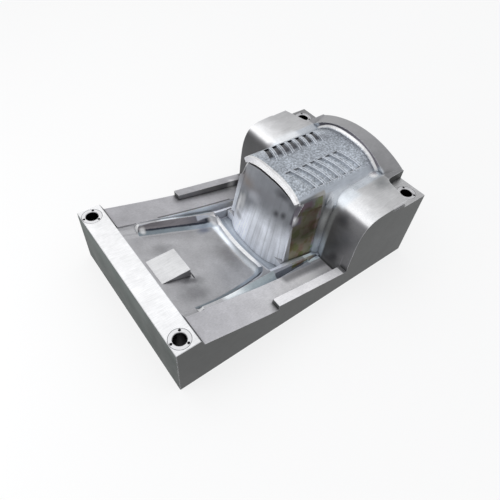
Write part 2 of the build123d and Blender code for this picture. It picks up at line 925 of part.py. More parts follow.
bush_names = ("front_left", "front_right", "rear_left", "rear_right")
for spot, name in zip(bush_spots, bush_names):
    # flanged sleeve, chamfered at the mouth and at the lower end, with three sunk screw holes
    with BuildPart() as guide_bush:
        with BuildSketch(Plane.XZ.offset(-spot[1])):
            with BuildLine():
                Polyline(
                    (spot[0] + bush_bore / 2 + bush_lead, spot[2]),
                    (spot[0] + bush_flange / 2 - bush_edge, spot[2]),
                    (spot[0] + bush_flange / 2, spot[2] - bush_edge),
                    (spot[0] + bush_flange / 2, spot[2] - bush_flange_thickness),
                    (spot[0] + bush_body / 2, spot[2] - bush_flange_thickness),
                    (spot[0] + bush_body / 2, spot[2] - bush_length + bush_tail_edge),
                    (spot[0] + bush_body / 2 - bush_tail_edge, spot[2] - bush_length),
                    (spot[0] + bush_bore / 2, spot[2] - bush_length),
                    (spot[0] + bush_bore / 2, spot[2] - bush_lead),
                    (spot[0] + bush_bore / 2 + bush_lead, spot[2]),
                )
            make_face()
        revolve(axis=Axis((spot[0], spot[1], 0), (0, 0, 1)))
        with Locations(Location(spot)):
            with PolarLocations(screw_circle / 2, len(screw_angles), start_angle=screw_angles[0]):
                CounterBoreHole(
                    radius=screw_clearance_hole / 2,
                    counter_bore_radius=screw_head_pocket / 2,
                    counter_bore_depth=screw_head_height + screw_sink,
                    depth=bush_flange_thickness,
                )
    guide_bush.part.label = "guide_bush_" + name
    export_step(guide_bush.part, "parts/guide_bush_" + name + ".step")

for spot, name in zip(bush_spots, bush_names):
    for index, angle in enumerate(screw_angles):
        # socket head cap screw under the flange surface
        with BuildPart() as flange_screw:
            with Locations(Location(spot)):
                with PolarLocations(screw_circle / 2, 1, start_angle=angle):
                    with Locations((0, 0, -screw_sink)):
                        Cylinder(
                            radius=screw_head / 2,
                            height=screw_head_height,
                            align=(Align.CENTER, Align.CENTER, Align.MAX),
                        )
                    with Locations((0, 0, -screw_sink - screw_head_height)):
                        Cylinder(
                            radius=screw_thread / 2 - screw_root,
                            height=screw_length,
                            align=(Align.CENTER, Align.CENTER, Align.MAX),
                        )
            top_plane = Plane(origin=flange_screw.faces().sort_by(Axis.Z)[-1].center())
            with BuildSketch(top_plane):
                RegularPolygon(radius=screw_socket / 2, side_count=6, major_radius=False)
            extrude(amount=-screw_socket_depth, mode=Mode.SUBTRACT)
        screw_name = "flange_screw_" + name + "_" + str(index + 1)
        flange_screw.part.label = screw_name
        export_step(flange_screw.part, "parts/" + screw_name + ".step")
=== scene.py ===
from math import radians, tau

import bpy
from mathutils import Euler, Matrix, Vector


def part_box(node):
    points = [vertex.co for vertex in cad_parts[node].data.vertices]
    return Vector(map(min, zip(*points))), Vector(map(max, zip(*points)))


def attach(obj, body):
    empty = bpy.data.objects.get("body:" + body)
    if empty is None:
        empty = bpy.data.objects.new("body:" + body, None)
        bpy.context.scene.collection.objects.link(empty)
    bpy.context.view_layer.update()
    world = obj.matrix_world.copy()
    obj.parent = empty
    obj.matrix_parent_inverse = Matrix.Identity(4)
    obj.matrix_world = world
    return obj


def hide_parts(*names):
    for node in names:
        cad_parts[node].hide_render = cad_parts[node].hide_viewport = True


bl_info = {
    "name": "Armchair Mould Core",
    "version": (1, 0, 0),
    "blender": (4, 5, 0),
    "location": "3D View > Sidebar > Mould",
    "description": "Finishes the steel core half of an armchair mould and sets it on a plain stage",
    "category": "Object",
}

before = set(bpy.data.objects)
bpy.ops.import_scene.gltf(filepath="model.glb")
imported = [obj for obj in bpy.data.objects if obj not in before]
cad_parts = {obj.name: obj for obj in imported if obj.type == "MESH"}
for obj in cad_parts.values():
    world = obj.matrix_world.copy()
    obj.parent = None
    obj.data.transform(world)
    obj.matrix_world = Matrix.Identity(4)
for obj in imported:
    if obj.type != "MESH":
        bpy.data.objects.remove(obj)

BUSHES = sorted(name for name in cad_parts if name.startswith("guide_bush"))
SCREWS = sorted(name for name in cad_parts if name.startswith("flange_screw"))
BLOCK_LOW, BLOCK_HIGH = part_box("core_block")

# Places on the block in millimetres: along it from the bar end, across it from its middle plane, and up.
SIDE, CROWN = BLOCK_HIGH.y * 1000, BLOCK_HIGH.z * 1000
OUT, BACK = SIDE + 2, (BLOCK_HIGH.x - BLOCK_LOW.x) * 1000 + 2
BAR_END, BAR_TOP = 99, 269.5
STRIP_START, STRIP_END, STRIP_INNER, STRIP_HEIGHTS = 113, 838, 269, (30, 240)
RIB_START, RIB_INNER = 460, 358
PAD_START, PAD_END, PAD_HALF, PAD_TOP = 131, 261, 67, 196
RAIL_START, RAIL_OUTER, SEAT_END, GROOVE_END = 182, 262, 564, 640
POCKET_START, POCKET_END = 582, 786
CHANNEL_HEIGHTS = (60, 216)
ARM_FOOT, ROLL_START, ROLL_END = 852, 880, 932
ARM_HEIGHTS = (30, 385)
CORE_START, CORE_REAR, CORE_HALF = 709, 1163, 205
LIP_FRONT, LIP_HALF = 697, 180
ARCH_LOW, LIP_LOW, ARCH_HIGH = 384, 400, 474
CORNER_LOW, CORNER_HIGH = 352, 400
RIM_HALF, RIM_LOW, RIM_HIGH = 264, 372, 490
REAR_PAD_START, REAR_PAD_INNER, REAR_PAD_TOP = 1110, 256, 358.5
SLOT_FIRST, SLOT_PITCH, SLOT_LENGTH, SLOT_COUNT = 735, 45, 30, 7
SLOT_INNER, SLOT_OUTER, SLOT_SWEEP = 45, 155, 50

# Ways in which a face looks, and how far it has to turn that way: from none to all of the finish.
UP, FRONT, REAR, RIGHT, LEFT = (0, 0, 1), (-1, 0, 0), (1, 0, 0), (0, -1, 0), (0, 1, 0)
ANY_WAY, LEVEL, STEEP = (-2.0, -1.5), (0.6, 0.8), (0.7, 0.9)
CLOSE, HALF_TURNED, SLANTING, ROUNDING = (0.8, 0.95), (0.5, 0.7), (0.3, 0.6), (0.2, 0.5)

ORIGIN, WHITE = (0.0, 0.0, 0.0), (1.0, 1.0, 1.0)
NOISE_RANGE = (0.3, 0.7)
NODES_IN_A_ROW, NODE_WIDTH, NODE_HEIGHT = 12, 220, 320
CAMERA_PLACE = (-0.909656, -1.021466, 1.596241)
CAMERA_TURN_DEGREES = (40.619202, -3.873620, -37.125005)
LAMP_TARGET, FLOOR_DROP = (0, 0, 0.2), 0.0005
BUSH_LINE = 0.0006


def along(distance_mm):
    """Place along X in metres of a point given in millimetres from the bar end of the block."""
    return BLOCK_LOW.x + distance_mm / 1000


def point_mm(distance, across, height):
    """A place on the block, from millimetres to the frame's metres."""
    return along(distance), across / 1000, height / 1000


def shade(colour, factor):
    """The colour made lighter or darker, kept within white."""
    return tuple(min(1.0, channel * factor) for channel in colour)


# settings


class MouldSteelSettings(bpy.types.PropertyGroup):
    side_colour: bpy.props.FloatVectorProperty(
        name="Outer sides", description="Colour of the outer sides of the block", subtype="COLOR",
        size=3, min=0, max=1, default=(0.115, 0.118, 0.117))
    end_colour: bpy.props.FloatVectorProperty(
        name="Front end", description="Colour of the end face under the bar", subtype="COLOR",
        size=3, min=0, max=1, default=(0.052, 0.068, 0.062))
    ground_colour: bpy.props.FloatVectorProperty(
        name="Ground faces", description="Colour of the bar top, the shut-off pad and the corner pads",
        subtype="COLOR", size=3, min=0, max=1, default=(0.78, 0.78, 0.785))
    strip_colour: bpy.props.FloatVectorProperty(
        name="Parting strips", description="Colour of the sloping strips and ribs", subtype="COLOR",
        size=3, min=0, max=1, default=(0.62, 0.615, 0.64))
    seat_colour: bpy.props.FloatVectorProperty(
        name="Seat floor", description="Colour of the milled seat floor", subtype="COLOR",
        size=3, min=0, max=1, default=(0.57, 0.57, 0.585))
    polish_colour: bpy.props.FloatVectorProperty(
        name="Polished steel", description="Colour of the polished rails, bead and corner blends",
        subtype="COLOR", size=3, min=0, max=1, default=(0.62, 0.66, 0.71))
    wall_colour: bpy.props.FloatVectorProperty(
        name="Front wall", description="Colour of the stoned front wall of the tall core",
        subtype="COLOR", size=3, min=0, max=1, default=(0.88, 0.92, 1.0))
    arch_colour: bpy.props.FloatVectorProperty(
        name="Arch", description="Colour of the arch between its vent slots", subtype="COLOR",
        size=3, min=0, max=1, default=(0.42, 0.455, 0.50))
    # painted brown reflection on the side walls of the tall core
    reflection_tint_colour: bpy.props.FloatVectorProperty(
        name="Brown reflection", description="Colour of the brown reflection painted on the side walls of the tall core", subtype="COLOR",
        size=3, min=0, max=1, default=(0.23, 0.21, 0.15))
    # rubbed edges, with a painted highlight on them
    rubbed_and_lit_edge_colour: bpy.props.FloatVectorProperty(
        name="Rubbed and highlighted edges", description="Colour of the bright rubbed edges with their painted highlight", subtype="COLOR",
        size=3, min=0, max=1, default=(0.80, 0.81, 0.83))
    edge_width: bpy.props.FloatProperty(
        name="Edge width", description="Width of the bright rubbed edges with their painted highlight", unit="LENGTH",
        min=0, default=0.0030)


class MouldScrewSettings(bpy.types.PropertyGroup):
    head_height: bpy.props.FloatProperty(
        name="Head height", description="Height of the screw head", unit="LENGTH", min=0.001,
        default=0.006)
    core_diameter: bpy.props.FloatProperty(
        name="Core diameter", description="Diameter of the shank under its thread", unit="LENGTH",
        min=0.001, default=0.0049)
    thread_diameter: bpy.props.FloatProperty(
        name="Thread diameter", description="Diameter over the thread", unit="LENGTH",
        min=0.001, default=0.0059)
    thread_pitch: bpy.props.FloatProperty(
        name="Thread pitch", description="Distance from one turn of the thread to the next",
        unit="LENGTH", min=0.0002, default=0.001)
    socket_width: bpy.props.FloatProperty(
        name="Socket width", description="Width of the hexagon socket across its flats",
        unit="LENGTH", min=0.0005, default=0.005)
    socket_depth: bpy.props.FloatProperty(
        name="Socket depth", description="Depth of the hexagon socket", unit="LENGTH",
        min=0.0002, default=0.003)
    chamfer: bpy.props.FloatProperty(
        name="Head chamfer", description="Chamfer round the top of the head", unit="LENGTH",
        min=0, default=0.0006)
    colour: bpy.props.FloatVectorProperty(
        name="Colour", description="Colour of the blackened screws", subtype="COLOR", size=3,
        min=0, max=1, default=(0.03, 0.03, 0.032))


class MouldBushSettings(bpy.types.PropertyGroup):
    ring_colour: bpy.props.FloatVectorProperty(
        name="Flange", description="Colour of the ground flange", subtype="COLOR", size=3,
        min=0, max=1, default=(0.62, 0.62, 0.63))
    # the bore's colour is painted shade; the flange's dark rim takes it too
    bore_shade_and_rim_colour: bpy.props.FloatVectorProperty(
        name="Bore", description="Colour of the painted shade in the bore and of the flange's dark rim", subtype="COLOR", size=3,
        min=0, max=1, default=(0.07, 0.07, 0.075))
    bore_radius: bpy.props.FloatProperty(
        name="Bore radius", description="Radius inside which the bush is painted dark as the bore's shade",
        unit="LENGTH", min=0, default=0.0262)
    rim_radius: bpy.props.FloatProperty(
        name="Rim radius", description="Radius outside which the flange's rim is dark",
        unit="LENGTH", min=0, default=0.0407)


class MouldStageSettings(bpy.types.PropertyGroup):
    floor_colour: bpy.props.FloatVectorProperty(
        name="Floor", description="Colour of the floor", subtype="COLOR", size=3,
        min=0, max=1, default=(0.86, 0.86, 0.86))
    floor_size: bpy.props.FloatProperty(
        name="Floor size", description="Length of the floor's side", unit="LENGTH", min=2,
        default=60.0)
    focal_length: bpy.props.FloatProperty(
        name="Focal length", description="Focal length of the camera in millimetres", min=5,
        default=31.296)
    key_power: bpy.props.FloatProperty(
        name="Key lamp", description="Power of the large lamp overhead, in watts", min=0,
        default=10.0)
    front_power: bpy.props.FloatProperty(
        name="Front lamp", description="Power of the soft lamp in front of the wall, in watts", min=0,
        default=13.0)
    world_strength: bpy.props.FloatProperty(
        name="Surroundings", description="Strength of the light from all around", min=0,
        default=1.0)


# node bench


class Bench:
    """Lays out the nodes of one tree. Its steps take sockets or plain values and give back a socket."""

    def __init__(self, tree):
        self.tree = tree

    def node(self, kind, **values):
        """A new node with its settings; a key that starts with in_ names an input or gives its number."""
        made = self.tree.nodes.new(kind)
        row, column = divmod(len(self.tree.nodes), NODES_IN_A_ROW)
        made.location = (column * NODE_WIDTH, -row * NODE_HEIGHT)
        for key, value in values.items():
            if not key.startswith("in_"):
                setattr(made, key, value)
            elif value is not None:
                self.feed(made, key[3:].replace("_", " "), value)
        return made

    def feed(self, made, name, value):
        """Link a socket to an input, or set the value of the input."""
        socket = made.inputs[int(name)] if name.isdigit() else made.inputs[name]
        if isinstance(value, bpy.types.NodeSocket):
            self.tree.links.new(value, socket)
        elif socket.type == "RGBA":
            socket.default_value = (*value[:3], 1.0)
        else:
            socket.default_value = value

    def group(self, shared, **values):
        """Outputs of a shared group, with its inputs linked or set by name."""
        inputs = {"in_" + name: value for name, value in values.items()}
        return self.node("ShaderNodeGroup", node_tree=shared, **inputs).outputs

    def math(self, operation, first, second=None, third=None, clamp=False):
        """Result of a step with plain values."""
        return self.node("ShaderNodeMath", operation=operation, in_0=first, in_1=second, in_2=third,
                         use_clamp=clamp).outputs[0]

    def highest(self, *values):
        """The highest of the values."""
        top = values[0]
        for value in values[1:]:
            top = self.math("MAXIMUM", top, value)
        return top

    def vector(self, operation, first, second=None):
        """Result of a vector step: a value for a length or a dot product, else a vector."""
        made = self.node("ShaderNodeVectorMath", operation=operation, in_0=first, in_1=second)
        return made.outputs["Value" if operation in ("LENGTH", "DOT_PRODUCT") else "Vector"]

    def product(self, first, *others):
        """All values multiplied."""
        for other in others:
            first = self.math("MULTIPLY", first, other)
        return first

    def ramp(self, value, low, high, first=0.0, last=1.0, smooth=False):
        """The value mapped from one range to another."""
        kind = "SMOOTHSTEP" if smooth else "LINEAR"
        return self.node("ShaderNodeMapRange", interpolation_type=kind, in_0=value, in_1=low, in_2=high,
                         in_3=first, in_4=last).outputs[0]

    def spread(self, noise, low, high):
        """A noise, spread from one value to another."""
        return self.ramp(noise, *NOISE_RANGE, low, high)

    def noise(self, position, scale, detail, roughness=0.5):
        """Soft noise, mostly within the noise range."""
        return self.node("ShaderNodeTexNoise", in_Vector=position, in_Scale=scale, in_Detail=detail,
                         in_Roughness=roughness).outputs["Fac"]

    def parts(self, vector):
        """X, Y and Z of a vector."""
        return self.node("ShaderNodeSeparateXYZ", in_0=vector).outputs

    def joined(self, x=0.0, y=0.0, z=0.0):
        """A vector from its X, Y and Z."""
        return self.node("ShaderNodeCombineXYZ", in_0=x, in_1=y, in_2=z).outputs[0]

    def tint(self, share, before, colour, kind="MIX"):
        """The colour so far, mixed with or multiplied by another one by the share."""
        return self.node("ShaderNodeMix", data_type="RGBA", blend_type=kind, in_0=share, in_6=before,
                         in_7=colour).outputs[2]

    def fade(self, position, axis, start, end):
        """Share from 0 to 1 between two places in millimetres along X, Y or Z of the block."""
        metres = [along(place) if axis == "X" else place / 1000 for place in (start, end)]
        return self.ramp(self.parts(position)[axis], *metres, smooth=True)

    def relief(self, strength, distance, height):
        """Normal of a fine relief."""
        return self.node("ShaderNodeBump", in_Strength=strength, in_Distance=distance,
                         in_Height=height).outputs[0]


def shader_group(name, **inputs):
    """Mark a function that lays out a shared group's nodes. It then gives that group, built once."""
    def mark(lay_out):
        def fetch():
            if name in bpy.data.node_groups:
                return bpy.data.node_groups[name]
            tree = bpy.data.node_groups.new(name, "ShaderNodeTree")
            for label, value in inputs.items():
                kind = "NodeSocketFloat" if isinstance(value, float) else "NodeSocketVector"
                socket = tree.interface.new_socket(name=label.replace("_", " "), in_out="INPUT",
                                                   socket_type=kind)
                socket.default_value = value
            bench = Bench(tree)
            results = lay_out(bench, bench.node("NodeGroupInput").outputs)
            for label, made in results.items():
                kind = "NodeSocketVector" if made.type == "VECTOR" else "NodeSocketFloat"
                tree.interface.new_socket(name=label, in_out="OUTPUT", socket_type=kind)
            leave = bench.node("NodeGroupOutput")
            for label, made in results.items():
                bench.feed(leave, label, made)
            return tree
        return fetch
    return mark


@shader_group("Part Region", Position=ORIGIN, Normal=ORIGIN, Low=ORIGIN, High=WHITE,
              Softness=(0.002, 0.002, 0.002), Facing=UP, Facing_From=-2.0, Facing_To=-1.5)
def part_region(bench, take):
    """Mask of a box on the part, limited to faces that look one way."""
    def slope(edge, first, last):
        start = bench.vector("SUBTRACT", edge, take["Softness"])
        end = bench.vector("ADD", edge, take["Softness"])
        return bench.node(
            "ShaderNodeMapRange", data_type="FLOAT_VECTOR", interpolation_type="SMOOTHSTEP",
            in_Vector=take["Position"], in_7=start, in_8=end, in_9=(first,) * 3,
            in_10=(last,) * 3).outputs["Vector"]

    inside = bench.parts(bench.vector("MULTIPLY", slope(take["Low"], 0, 1), slope(take["High"], 1, 0)))
    facing = bench.vector("DOT_PRODUCT", take["Normal"], take["Facing"])
    turned = bench.ramp(facing, take["Facing From"], take["Facing To"], smooth=True)
    return {"Mask": bench.product(*inside, turned)}


@shader_group("Mirrored Halves", Position=ORIGIN, Normal=ORIGIN)
def mirrored_halves(bench, take):
    """Position and normal as seen on the left half of the part, for what both halves share."""
    x, y, z = bench.parts(take["Position"])
    way_x, way_y, way_z = bench.parts(take["Normal"])
    left_y = bench.math("ABSOLUTE", y)
    left_way_y = bench.product(way_y, bench.math("SIGN", y))
    return {"Position": bench.joined(x, left_y, z), "Normal": bench.joined(way_x, left_way_y, way_z)}


@shader_group("Steel Grain", Position=ORIGIN, Stretch=WHITE, Fine_Scale=400.0, Cloud_Scale=9.0)
def steel_grain(bench, take):
    """Fine directional grain and broad clouding of machined steel."""
    stretched = bench.vector("MULTIPLY", take["Position"], take["Stretch"])
    return {"Fine": bench.noise(stretched, take["Fine Scale"], 4.0, 0.65),
            "Cloud": bench.noise(take["Position"], take["Cloud Scale"], 5.0, 0.6)}


@shader_group("Edge Band", Position=ORIGIN, Width=0.002)
def edge_band(bench, take):
    """Mask of the edges, from how far a rounded normal turns away from the face; on the block it carries
    rubbed edges with a painted highlight.
    """
    rounded = bench.node("ShaderNodeBevel", samples=4, in_Radius=take["Width"]).outputs[0]
    plain = bench.node("ShaderNodeNewGeometry").outputs["Normal"]
    amount = bench.ramp(bench.vector("DOT_PRODUCT", rounded, plain), 0.995, 0.90)
    broken = bench.ramp(bench.noise(take["Position"], 60.0, 3.0), 0.3, 0.6, 0.35, 1.0)
    return {"Mask": bench.product(amount, broken)}


@shader_group("Corner Shade", Reach=0.012)
def corner_shade(bench, take):
    """Mask of the shade painted into inner corners: 0 in the open, 1 deep in a corner."""
    hidden = bench.node("ShaderNodeAmbientOcclusion", samples=6, only_local=True,
                        in_Distance=take["Reach"])
    return {"Mask": bench.ramp(hidden.outputs["AO"], 0.93, 0.5)}


@shader_group("Spot Mask", Position=ORIGIN, Centre=ORIGIN, Reach=(0.1, 0.1, 0.1), Roughness_Scale=14.0)
def spot_mask(bench, take):
    """Mask of a soft uneven spot round a point, with a reach of its own along each axis."""
    apart = bench.vector("SUBTRACT", take["Position"], take["Centre"])
    far = bench.vector("LENGTH", bench.vector("DIVIDE", apart, take["Reach"]))
    ragged = bench.noise(take["Position"], take["Roughness Scale"], 4.0)
    bent = bench.math("ADD", far, bench.math("MULTIPLY_ADD", ragged, 1.1, -0.55))
    return {"Mask": bench.ramp(bent, 1.0, 0.1, smooth=True)}


@shader_group("Cutter Marks", Position=ORIGIN, Across=(1, 0, 0), Pitch=0.003)
def cutter_marks(bench, take):
    """Height of parallel cutter marks across a face, slightly wavy."""
    run = bench.vector("DOT_PRODUCT", take["Position"], take["Across"])
    wander = bench.noise(take["Position"], 11.0, 2.0)
    turns = bench.math("MULTIPLY_ADD", wander, 3.0, bench.math("DIVIDE", run, take["Pitch"]))
    wave = bench.math("SINE", bench.product(turns, tau))
    return {"Height": bench.math("MULTIPLY_ADD", wave, 0.5, 0.5)}


@shader_group("Wall Streaks", Position=ORIGIN, Pitch=0.027, Fan_Height=1.4)
def wall_streaks(bench, take):
    """Uneven streaks that run down the front wall and spread a little towards its foot."""
    y, z = bench.parts(take["Position"])[1:]
    fan = bench.math("DIVIDE", y, bench.math("SUBTRACT", take["Fan Height"], z))
    flat = bench.vector("MULTIPLY", bench.joined(x=fan, z=z), (1.0, 1.0, 0.05))
    bands = bench.noise(flat, 48.0, 2.0, 0.6)
    broad = bench.noise(flat, 19.0, 1.0)
    turns = bench.math("MULTIPLY_ADD", broad, 1.2, bench.math("DIVIDE", fan, take["Pitch"]))
    line = bench.ramp(bench.math("FRACT", turns), 0.0, 0.16, 0.74, 1.0)
    soft = bench.ramp(bands, 0.35, 0.65, 0.82, 1.16)
    wide = bench.ramp(broad, 0.35, 0.65, 0.90, 1.10)
    return {"Streaks": bench.product(line, soft, wide)}


@shader_group("Wall Light", Position=ORIGIN, Top=0.275, Bend=0.020, Slope=0.83, Softness=0.08)
def wall_light(bench, take):
    """Share of the front wall that catches the light: the part under a line bent down at its left."""
    y, z = bench.parts(take["Position"])[1:]
    left = bench.highest(bench.math("SUBTRACT", y, take["Bend"]), 0.0)
    line = bench.math("SUBTRACT", take["Top"], bench.product(left, take["Slope"]))
    wave = bench.math("MULTIPLY_ADD", bench.noise(take["Position"], 16.0, 2.0), 0.024, -0.012)
    under = bench.math("ADD", bench.math("SUBTRACT", line, z), wave)
    return {"Lit": bench.ramp(bench.math("DIVIDE", under, take["Softness"]), -0.5, 1.0, smooth=True)}


@shader_group("Arch Stipple", Position=ORIGIN, Scale=115.0)
def arch_stipple(bench, take):
    """Fine stipple in broad uneven patches, as a tone around 1."""
    grains = bench.ramp(bench.noise(take["Position"], take["Scale"], 3.0, 0.75), 0.36, 0.64, 0.55, 1.5)
    patches = bench.spread(bench.noise(take["Position"], 26.0, 2.0), 0.9, 1.1)
    return {"Tone": bench.product(grains, patches)}


@shader_group("Vent Slots", Position=ORIGIN, First=along(SLOT_FIRST), Pitch=SLOT_PITCH / 1000,
              Length=SLOT_LENGTH / SLOT_PITCH, Count=float(SLOT_COUNT), Inner=SLOT_INNER / 1000,
              Outer=SLOT_OUTER / 1000, Sweep=SLOT_SWEEP / 1000, Lowest=ARCH_LOW / 1000)
def vent_slots(bench, take):
    """Floors and lit edges of the swept vent slots, worked out from their first place and pitch."""
    x, y, z = bench.parts(take["Position"])
    across = bench.math("ABSOLUTE", y)
    swept = bench.math("DIVIDE", bench.math("SUBTRACT", across, take["Inner"]),
                       bench.math("SUBTRACT", take["Outer"], take["Inner"]))
    run = bench.math("SUBTRACT", bench.math("SUBTRACT", x, take["First"]),
                     bench.product(swept, take["Sweep"]))
    turns = bench.math("DIVIDE", run, take["Pitch"])
    share = bench.math("FRACT", turns)
    limits = (("GREATER_THAN", turns, 0.0), ("LESS_THAN", turns, take["Count"]),
              ("GREATER_THAN", across, take["Inner"]), ("LESS_THAN", across, take["Outer"]),
              ("GREATER_THAN", z, take["Lowest"]))
    row = bench.product(*(bench.math(*limit) for limit in limits))
    off = bench.math("ABSOLUTE", bench.math("SUBTRACT", share, take["Length"]))
    rear_edge = bench.ramp(off, 0.10, 0.03, 0.0, 0.8)
    front_edge = bench.ramp(share, 0.90, 0.96, 0.0, 0.55)
    return {"Floor": bench.product(bench.math("LESS_THAN", share, take["Length"]), row),
            "Edge": bench.product(bench.highest(rear_edge, front_edge), row)}


def new_steel(name):
    """An empty metal material: (material, bench, Principled node, coordinates on the object)."""
    material = bpy.data.materials.new(name)
    material.use_nodes = True
    steel = material.node_tree.nodes["Principled BSDF"]
    steel.inputs["Metallic"].default_value = 1.0
    bench = Bench(material.node_tree)
    return material, bench, steel, bench.node("ShaderNodeTexCoord").outputs


# core block


def packed(rough, metal=1.0):
    """Roughness and share of metal as one colour, so that one chain of nodes lays both."""
    return rough, metal, 0.0


class Area:
    """One machined area: its box in millimetres, the way its faces look, its colour and roughness.

    A fade is the axis, the two places in millimetres and the colour to which the area turns.
    """

    def __init__(self, name, x, y, z, colour, rough, facing=UP, turn=ANY_WAY, soft=2.0, fade=None,
                 metal=1.0, mirrored=False):
        self.name, self.colour, self.finish = name, colour, packed(rough, metal)
        self.low, self.high = point_mm(x[0], y[0], z[0]), point_mm(x[1], y[1], z[1])
        self.soft = (soft / 1000,) * 3
        self.facing, self.turn = Vector(facing).normalized(), turn
        self.fade, self.mirrored = fade, mirrored


def both_sides(*place_and_finish, **more):
    """An area that both halves of the block share, given as it lies on the left half."""
    return Area(*place_and_finish, mirrored=True, **more)


def end_and_bar_areas(settings):
    """Both ends, the top of the bar and the step behind it."""
    side, end, ground = settings.side_colour, settings.end_colour, settings.ground_colour
    return [
        Area("front end", (-2, 3), (-OUT, OUT), (-2, BAR_TOP + 2), shade(end, 0.9), 0.48, FRONT, STEEP,
             soft=1, fade=("Z", 140, 225, shade(end, 1.38))),
        Area("front end's near part", (-100, 100), (-500, -190), (-100, 238), shade(end, 0.70), 0.48,
             FRONT, STEEP, soft=40),
        Area("rear end", (BACK - 5, BACK), (-OUT, OUT), (-2, CROWN), side, 0.5, REAR, STEEP, soft=1),
        Area("bar top", (-2, BAR_END + 0.5), (-OUT, OUT), (BAR_TOP - 3, BAR_TOP + 2), ground, 0.42,
             turn=LEVEL, soft=1),
        # painted shade on the step behind the bar
        Area("bar step", (BAR_END - 0.5, STRIP_START), (-OUT, OUT), (230, BAR_TOP - 1),
             shade(side, 0.7), 0.5, soft=1),
    ]


def seat_areas(settings):
    """Seat floor, shut-off pad, the round at the seat's rear end, and the bead and groove after it."""
    seat, polish, arch = settings.seat_colour, settings.polish_colour, settings.arch_colour
    return [
        Area("seat floor", (BAR_END - 1, SEAT_END + 4), (-236, 236), (70, 214), seat, 0.42,
             turn=(0.75, 0.92), soft=3, fade=("X", 380, 520, shade(seat, 0.82))),
        Area("seat by the bar", (BAR_END - 1, RAIL_START), (-STRIP_INNER, STRIP_INNER), (150, 232),
             shade(seat, 0.98), 0.42, turn=HALF_TURNED, soft=3),
        Area("seat end round", (500, SEAT_END + 2), (-215, 215), (70, 104), shade(polish, 0.95), 0.42,
             FRONT, (0.05, 0.5), soft=4),
        Area("pad top", (PAD_START, PAD_END), (-PAD_HALF, PAD_HALF), (PAD_TOP - 4, PAD_TOP + 3),
             shade(settings.ground_colour, 0.94), 0.5, turn=CLOSE, soft=0.6),
        Area("pad walls", (PAD_START, PAD_END + 1), (-PAD_HALF - 1, PAD_HALF + 1), (90, PAD_TOP - 3),
             shade(seat, 0.60), 0.4, soft=0.6),
        Area("bead slope", (520, SEAT_END + 2), (-200, CORE_HALF), (86, 104), shade(polish, 0.62), 0.38,
             soft=5, fade=("Y", -40, 60, shade(polish, 1.28))),
        # painted highlight on the bead crest, white except towards its near end
        Area("bead crest", (536, SEAT_END + 1), (-188, CORE_HALF), (97, 106), (0.6, 0.64, 0.70), 0.4,
             turn=CLOSE, soft=3, fade=("Y", -185, -90, WHITE), metal=0.15),
        Area("groove", (SEAT_END, 662), (-CORE_HALF, CORE_HALF), (50, 100), shade(arch, 1.25), 0.42,
             soft=3, fade=("X", 590, GROOVE_END, shade(arch, 0.85)), metal=0.6),
    ]


def arm_areas(settings):
    """Tops and front walls of the two arms."""
    ground, seat = settings.ground_colour, settings.seat_colour
    front = (ARM_FOOT - 4, 905)
    return [
        # arm tops lighter over the roll as a painted highlight, darker towards the rear
        Area("arm top", (ROLL_START, BACK), (-OUT, OUT), (360, 410), shade(ground, 1.08), 0.44,
             turn=LEVEL, soft=6, fade=("X", ROLL_END + 15, 1050, shade(ground, 0.70))),
        # near and far arm walls are one steel at two shades, the far one darker as painted shade
        Area("near arm wall", front, (-OUT, 0), ARM_HEIGHTS, shade(seat, 0.38), 0.42, FRONT,
             (0.6, 0.86), soft=6),
        Area("far arm wall", front, (0, OUT), ARM_HEIGHTS, shade(seat, 0.19), 0.42, FRONT,
             (0.55, 0.9), soft=6),
    ]


def core_areas(settings):
    """Front wall, lip and arch of the tall core."""
    ground, arch = settings.ground_colour, settings.arch_colour
    length = (CORE_START - 1, CORE_REAR - 8)
    return [
        # the front wall's shaded part in painted shade; light_wall lays its lit part over it
        Area("front wall", (600, CORE_START + 1), (-CORE_HALF, CORE_HALF), (64, 440),
             shade(settings.wall_colour, 0.27), 0.5, FRONT, SLANTING, metal=0.45),
        # painted light strip on the far flare of the front wall, darker higher up
        Area("wall flare", (640, 700), (168, 202), (60, 330), (0.78, 0.82, 0.88), 0.5,
             (-0.9, -0.5, 0.05), (0.90, 0.96), soft=1, fade=("Z", 200, 300, (0.40, 0.41, 0.44)),
             metal=0.1),
        # painted shade in the gap under the lip
        Area("gap under the lip", (650, LIP_FRONT + 12), (-LIP_HALF, LIP_HALF), (300, 450),
             (0.03, 0.03, 0.035), 0.5, turn=(0.45, 0.7), soft=1),
        Area("arch", length, (-206, 206), (ARCH_LOW, ARCH_HIGH), shade(arch, 1.1), 0.36, turn=SLANTING,
             soft=1),
        Area("stippled arch", length, (-164, 164), (ARCH_LOW, ARCH_HIGH), arch, 0.36, turn=SLANTING,
             soft=9),
        # painted highlight: the lip face in near-white non-metal, darker towards its far end
        Area("lip face", (LIP_FRONT - 0.8, LIP_FRONT + 1.2), (3 - LIP_HALF, LIP_HALF - 3),
             (LIP_LOW, ARCH_HIGH), (0.96, 0.96, 0.97), 0.6, FRONT, (0.985, 0.995), soft=0.6,
             fade=("Y", 40, 170, (0.60, 0.60, 0.63)), metal=0.0),
        Area("lip top", (LIP_FRONT - 1, CORE_START), (-LIP_HALF, LIP_HALF), (LIP_LOW, ARCH_HIGH),
             shade(ground, 1.05), 0.3, turn=ROUNDING, soft=1, fade=("Y", 60, 160, shade(ground, 0.85))),
    ]


